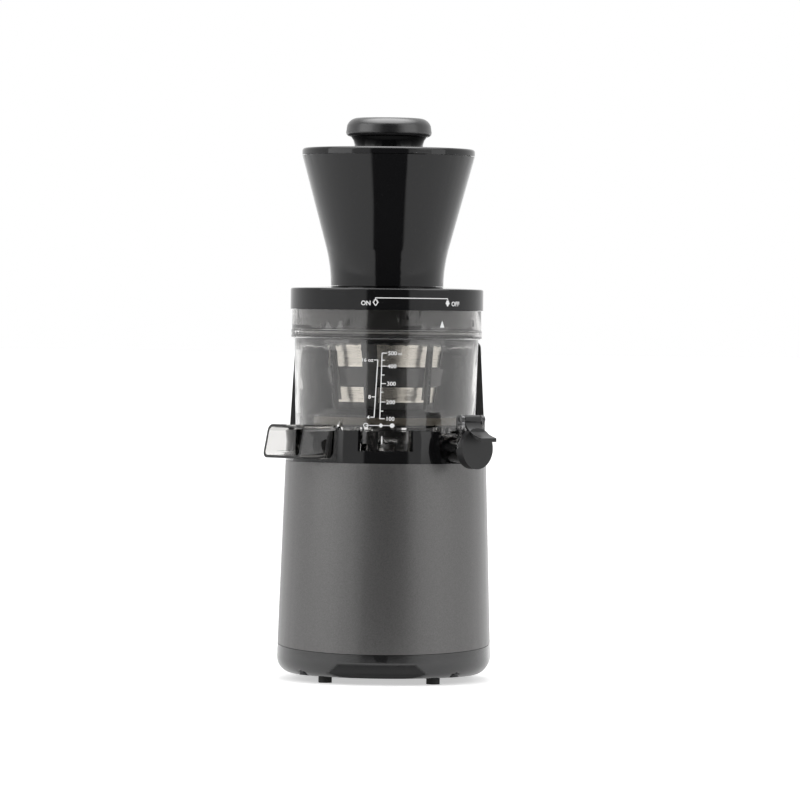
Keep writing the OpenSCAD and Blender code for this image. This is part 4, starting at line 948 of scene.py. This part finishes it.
def studio_floor():
    """A white floor. Past the front edge of a white table, reflections see a dark room instead."""
    bm = bmesh.new()
    bmesh.ops.create_grid(bm, x_segments=1, y_segments=1, size=40.0)
    mesh = bpy.data.meshes.new("studio_floor")
    bm.to_mesh(mesh)
    bm.free()
    floor = bpy.data.objects.new("studio_floor", mesh)
    bpy.context.scene.collection.objects.link(floor)
    material = bpy.data.materials.new("floor white")
    material.use_nodes = True
    tree = material.node_tree
    shader = tree.nodes["Principled BSDF"]
    shader.inputs["Base Color"].default_value = (0.86, 0.86, 0.86, 1.0)
    shader.inputs["Roughness"].default_value = 0.9
    shader.inputs["Specular IOR Level"].default_value = 0.1
    glow = tree.nodes.new("ShaderNodeEmission")
    light_path = tree.nodes.new("ShaderNodeLightPath")
    seen = seen_rays(tree, light_path)
    tree.links.new(math_node(tree, "MULTIPLY", seen, 0.5), glow.inputs["Strength"])
    lit = tree.nodes.new("ShaderNodeAddShader")
    tree.links.new(shader.outputs[0], lit.inputs[0])
    tree.links.new(glow.outputs[0], lit.inputs[1])
    place = tree.nodes.new("ShaderNodeNewGeometry").outputs["Position"]
    in_room = math_node(tree, "MULTIPLY", front_room(tree, place, TABLE_EDGE, TABLE_HALF),
                        light_path.outputs["Is Glossy Ray"])
    room = tree.nodes.new("ShaderNodeEmission")
    room.inputs["Strength"].default_value = ROOM_LEVEL
    mixed = tree.nodes.new("ShaderNodeMixShader")
    tree.links.new(in_room, mixed.inputs[0])
    tree.links.new(lit.outputs[0], mixed.inputs[1])
    tree.links.new(room.outputs[0], mixed.inputs[2])
    tree.links.new(mixed.outputs[0], tree.nodes["Material Output"].inputs["Surface"])
    mesh.materials.append(material)


def seen_rays(tree, light_path):
    """1 for camera, glossy and transmission rays."""
    total = math_node(tree, "ADD", light_path.outputs["Is Camera Ray"], light_path.outputs["Is Glossy Ray"])
    return math_node(tree, "ADD", total, light_path.outputs["Is Transmission Ray"], clamp=True)


def ramp(tree, value, start, end, top=1.0):
    """0 up to start, then rising to top at end."""
    node = tree.nodes.new("ShaderNodeMapRange")
    node.inputs["From Min"].default_value = start
    node.inputs["From Max"].default_value = end
    node.inputs["To Max"].default_value = top
    tree.links.new(value, node.inputs["Value"])
    return node.outputs[0]


def front_room(tree, vector, reach, least):
    """1 for a place or direction that lies in the dark room: in front, farther than reach, within
    the room's half width or the least one, and not too steep."""
    parted = tree.nodes.new("ShaderNodeSeparateXYZ")
    tree.links.new(vector, parted.inputs[0])
    x = math_node(tree, "MULTIPLY_ADD", parted.outputs["Y"], ROOM_SKEW, parted.outputs["X"])
    forward = math_node(tree, "MULTIPLY", parted.outputs["Y"], -1.0)
    half = math_node(tree, "MAXIMUM", math_node(tree, "MULTIPLY", forward, ROOM_SHARE), least)
    aside = math_node(tree, "DIVIDE", math_node(tree, "ABSOLUTE", x), half)
    far = math_node(tree, "GREATER_THAN", forward, reach)
    steep = math_node(tree, "DIVIDE", parted.outputs["Z"], math_node(tree, "MAXIMUM", forward, 1e-4))
    inside = math_node(tree, "MULTIPLY", ramp(tree, aside, 1.06, 0.94), far)
    return math_node(tree, "MULTIPLY", inside, ramp(tree, steep, ROOM_STEEP * 1.25, ROOM_STEEP * 0.75))


def surroundings(settings):
    """A white room for the eye, softer as light on the juicer. Reflections also see the dark room
    in front and a bright ceiling."""
    world = bpy.data.worlds.new("white room")
    world.use_nodes = True
    bpy.context.scene.world = world
    tree = world.node_tree
    background = tree.nodes["Background"]
    light_path = tree.nodes.new("ShaderNodeLightPath")
    glossy = light_path.outputs["Is Glossy Ray"]
    direction = tree.nodes.new("ShaderNodeTexCoord").outputs["Generated"]
    in_room = math_node(tree, "MULTIPLY", front_room(tree, direction, 0.25, 1e-3), glossy)
    dimming = math_node(tree, "MULTIPLY_ADD", in_room, ROOM_LEVEL - 1.0, 1.0)
    level = math_node(tree, "MULTIPLY_ADD", seen_rays(tree, light_path), 1.0 - settings.ambient,
                      settings.ambient)
    strength = math_node(tree, "MULTIPLY", level, dimming)
    parted = tree.nodes.new("ShaderNodeSeparateXYZ")
    tree.links.new(direction, parted.inputs[0])
    bright = ramp(tree, parted.outputs["Z"], 0.7, 0.9, settings.ceiling)
    ceiling = math_node(tree, "MULTIPLY", bright, glossy)
    background.inputs["Color"].default_value = (1.0, 1.0, 1.0, 1.0)
    tree.links.new(math_node(tree, "ADD", strength, ceiling), background.inputs["Strength"])


def soft_light(name, place, target, size, power):
    lamp = bpy.data.lights.new(name, "AREA")
    lamp.shape = "SQUARE"
    lamp.size = size
    lamp.energy = power
    obj = bpy.data.objects.new(name, lamp)
    obj.location = place
    obj.rotation_euler = (Vector(target) - Vector(place)).to_track_quat("-Z", "Y").to_euler()
    bpy.context.scene.collection.objects.link(obj)


CAMERA_Z = 0.291         # height of the camera, in metres
AIM_Z = 0.225            # height of the point it aims at
AIM_RIGHT = 0.0114       # how far camera and aim stand to the right of the juicer's axis
CAMERA_ROLL = 0.67       # in degrees
CAMERA_LENS = 252.0      # in millimetres, for a frame of 36


def place_camera(settings):
    """Almost level camera in front, turned a little to the right and slightly rolled."""
    turn = settings.azimuth
    back = Vector((math.sin(turn), -math.cos(turn), 0.0))
    aside = Vector((math.cos(turn), math.sin(turn), 0.0)) * AIM_RIGHT
    camera = bpy.data.cameras.new("camera")
    camera.sensor_width = 36.0
    camera.lens = CAMERA_LENS
    camera.clip_end = 100.0
    obj = bpy.data.objects.new("camera", camera)
    obj.location = back * settings.distance + aside + Vector((0, 0, CAMERA_Z))
    aim = (aside + Vector((0, 0, AIM_Z)) - obj.location).to_track_quat("-Z", "Y").to_matrix().to_4x4()
    roll = Matrix.Rotation(math.radians(CAMERA_ROLL), 4, "Z")
    obj.rotation_euler = (aim @ roll).to_euler()
    bpy.context.scene.collection.objects.link(obj)
    bpy.context.scene.camera = obj


class JUICER_PT_panel(bpy.types.Panel):
    """Lists the juicer's pieces and settings"""
    bl_idname = "JUICER_PT_panel"
    bl_label = "Juicer"
    bl_space_type = "VIEW_3D"
    bl_region_type = "UI"
    bl_category = "Juicer"

    def draw(self, context):
        for maker in MAKERS:
            self.layout.operator(maker.bl_idname)
        scene = context.scene
        for group in (scene.juicer_finishes, scene.juicer_sizes, scene.juicer_stage):
            box = self.layout.box()
            for name in group.__annotations__:
                box.prop(group, name)


MAKERS = (JUICER_OT_base, JUICER_OT_drive, JUICER_OT_bowl, JUICER_OT_outlet, JUICER_OT_juicing,
          JUICER_OT_lid, JUICER_OT_funnel, JUICER_OT_marks, JUICER_OT_stage)
CLASSES = (JuicerFinishes, JuicerSizes, JuicerStage, *MAKERS, JUICER_PT_panel)


def register():
    for cls in CLASSES:
        bpy.utils.register_class(cls)
    bpy.types.Scene.juicer_finishes = PointerProperty(type=JuicerFinishes)
    bpy.types.Scene.juicer_sizes = PointerProperty(type=JuicerSizes)
    bpy.types.Scene.juicer_stage = PointerProperty(type=JuicerStage)


def unregister():
    for name in ("juicer_stage", "juicer_sizes", "juicer_finishes"):
        delattr(bpy.types.Scene, name)
    for cls in reversed(CLASSES):
        bpy.utils.unregister_class(cls)


def main():
    register()
    for maker in MAKERS:
        group, name = maker.bl_idname.split(".")
        getattr(getattr(bpy.ops, group), name)()


if __name__ == "__main__":
    main()
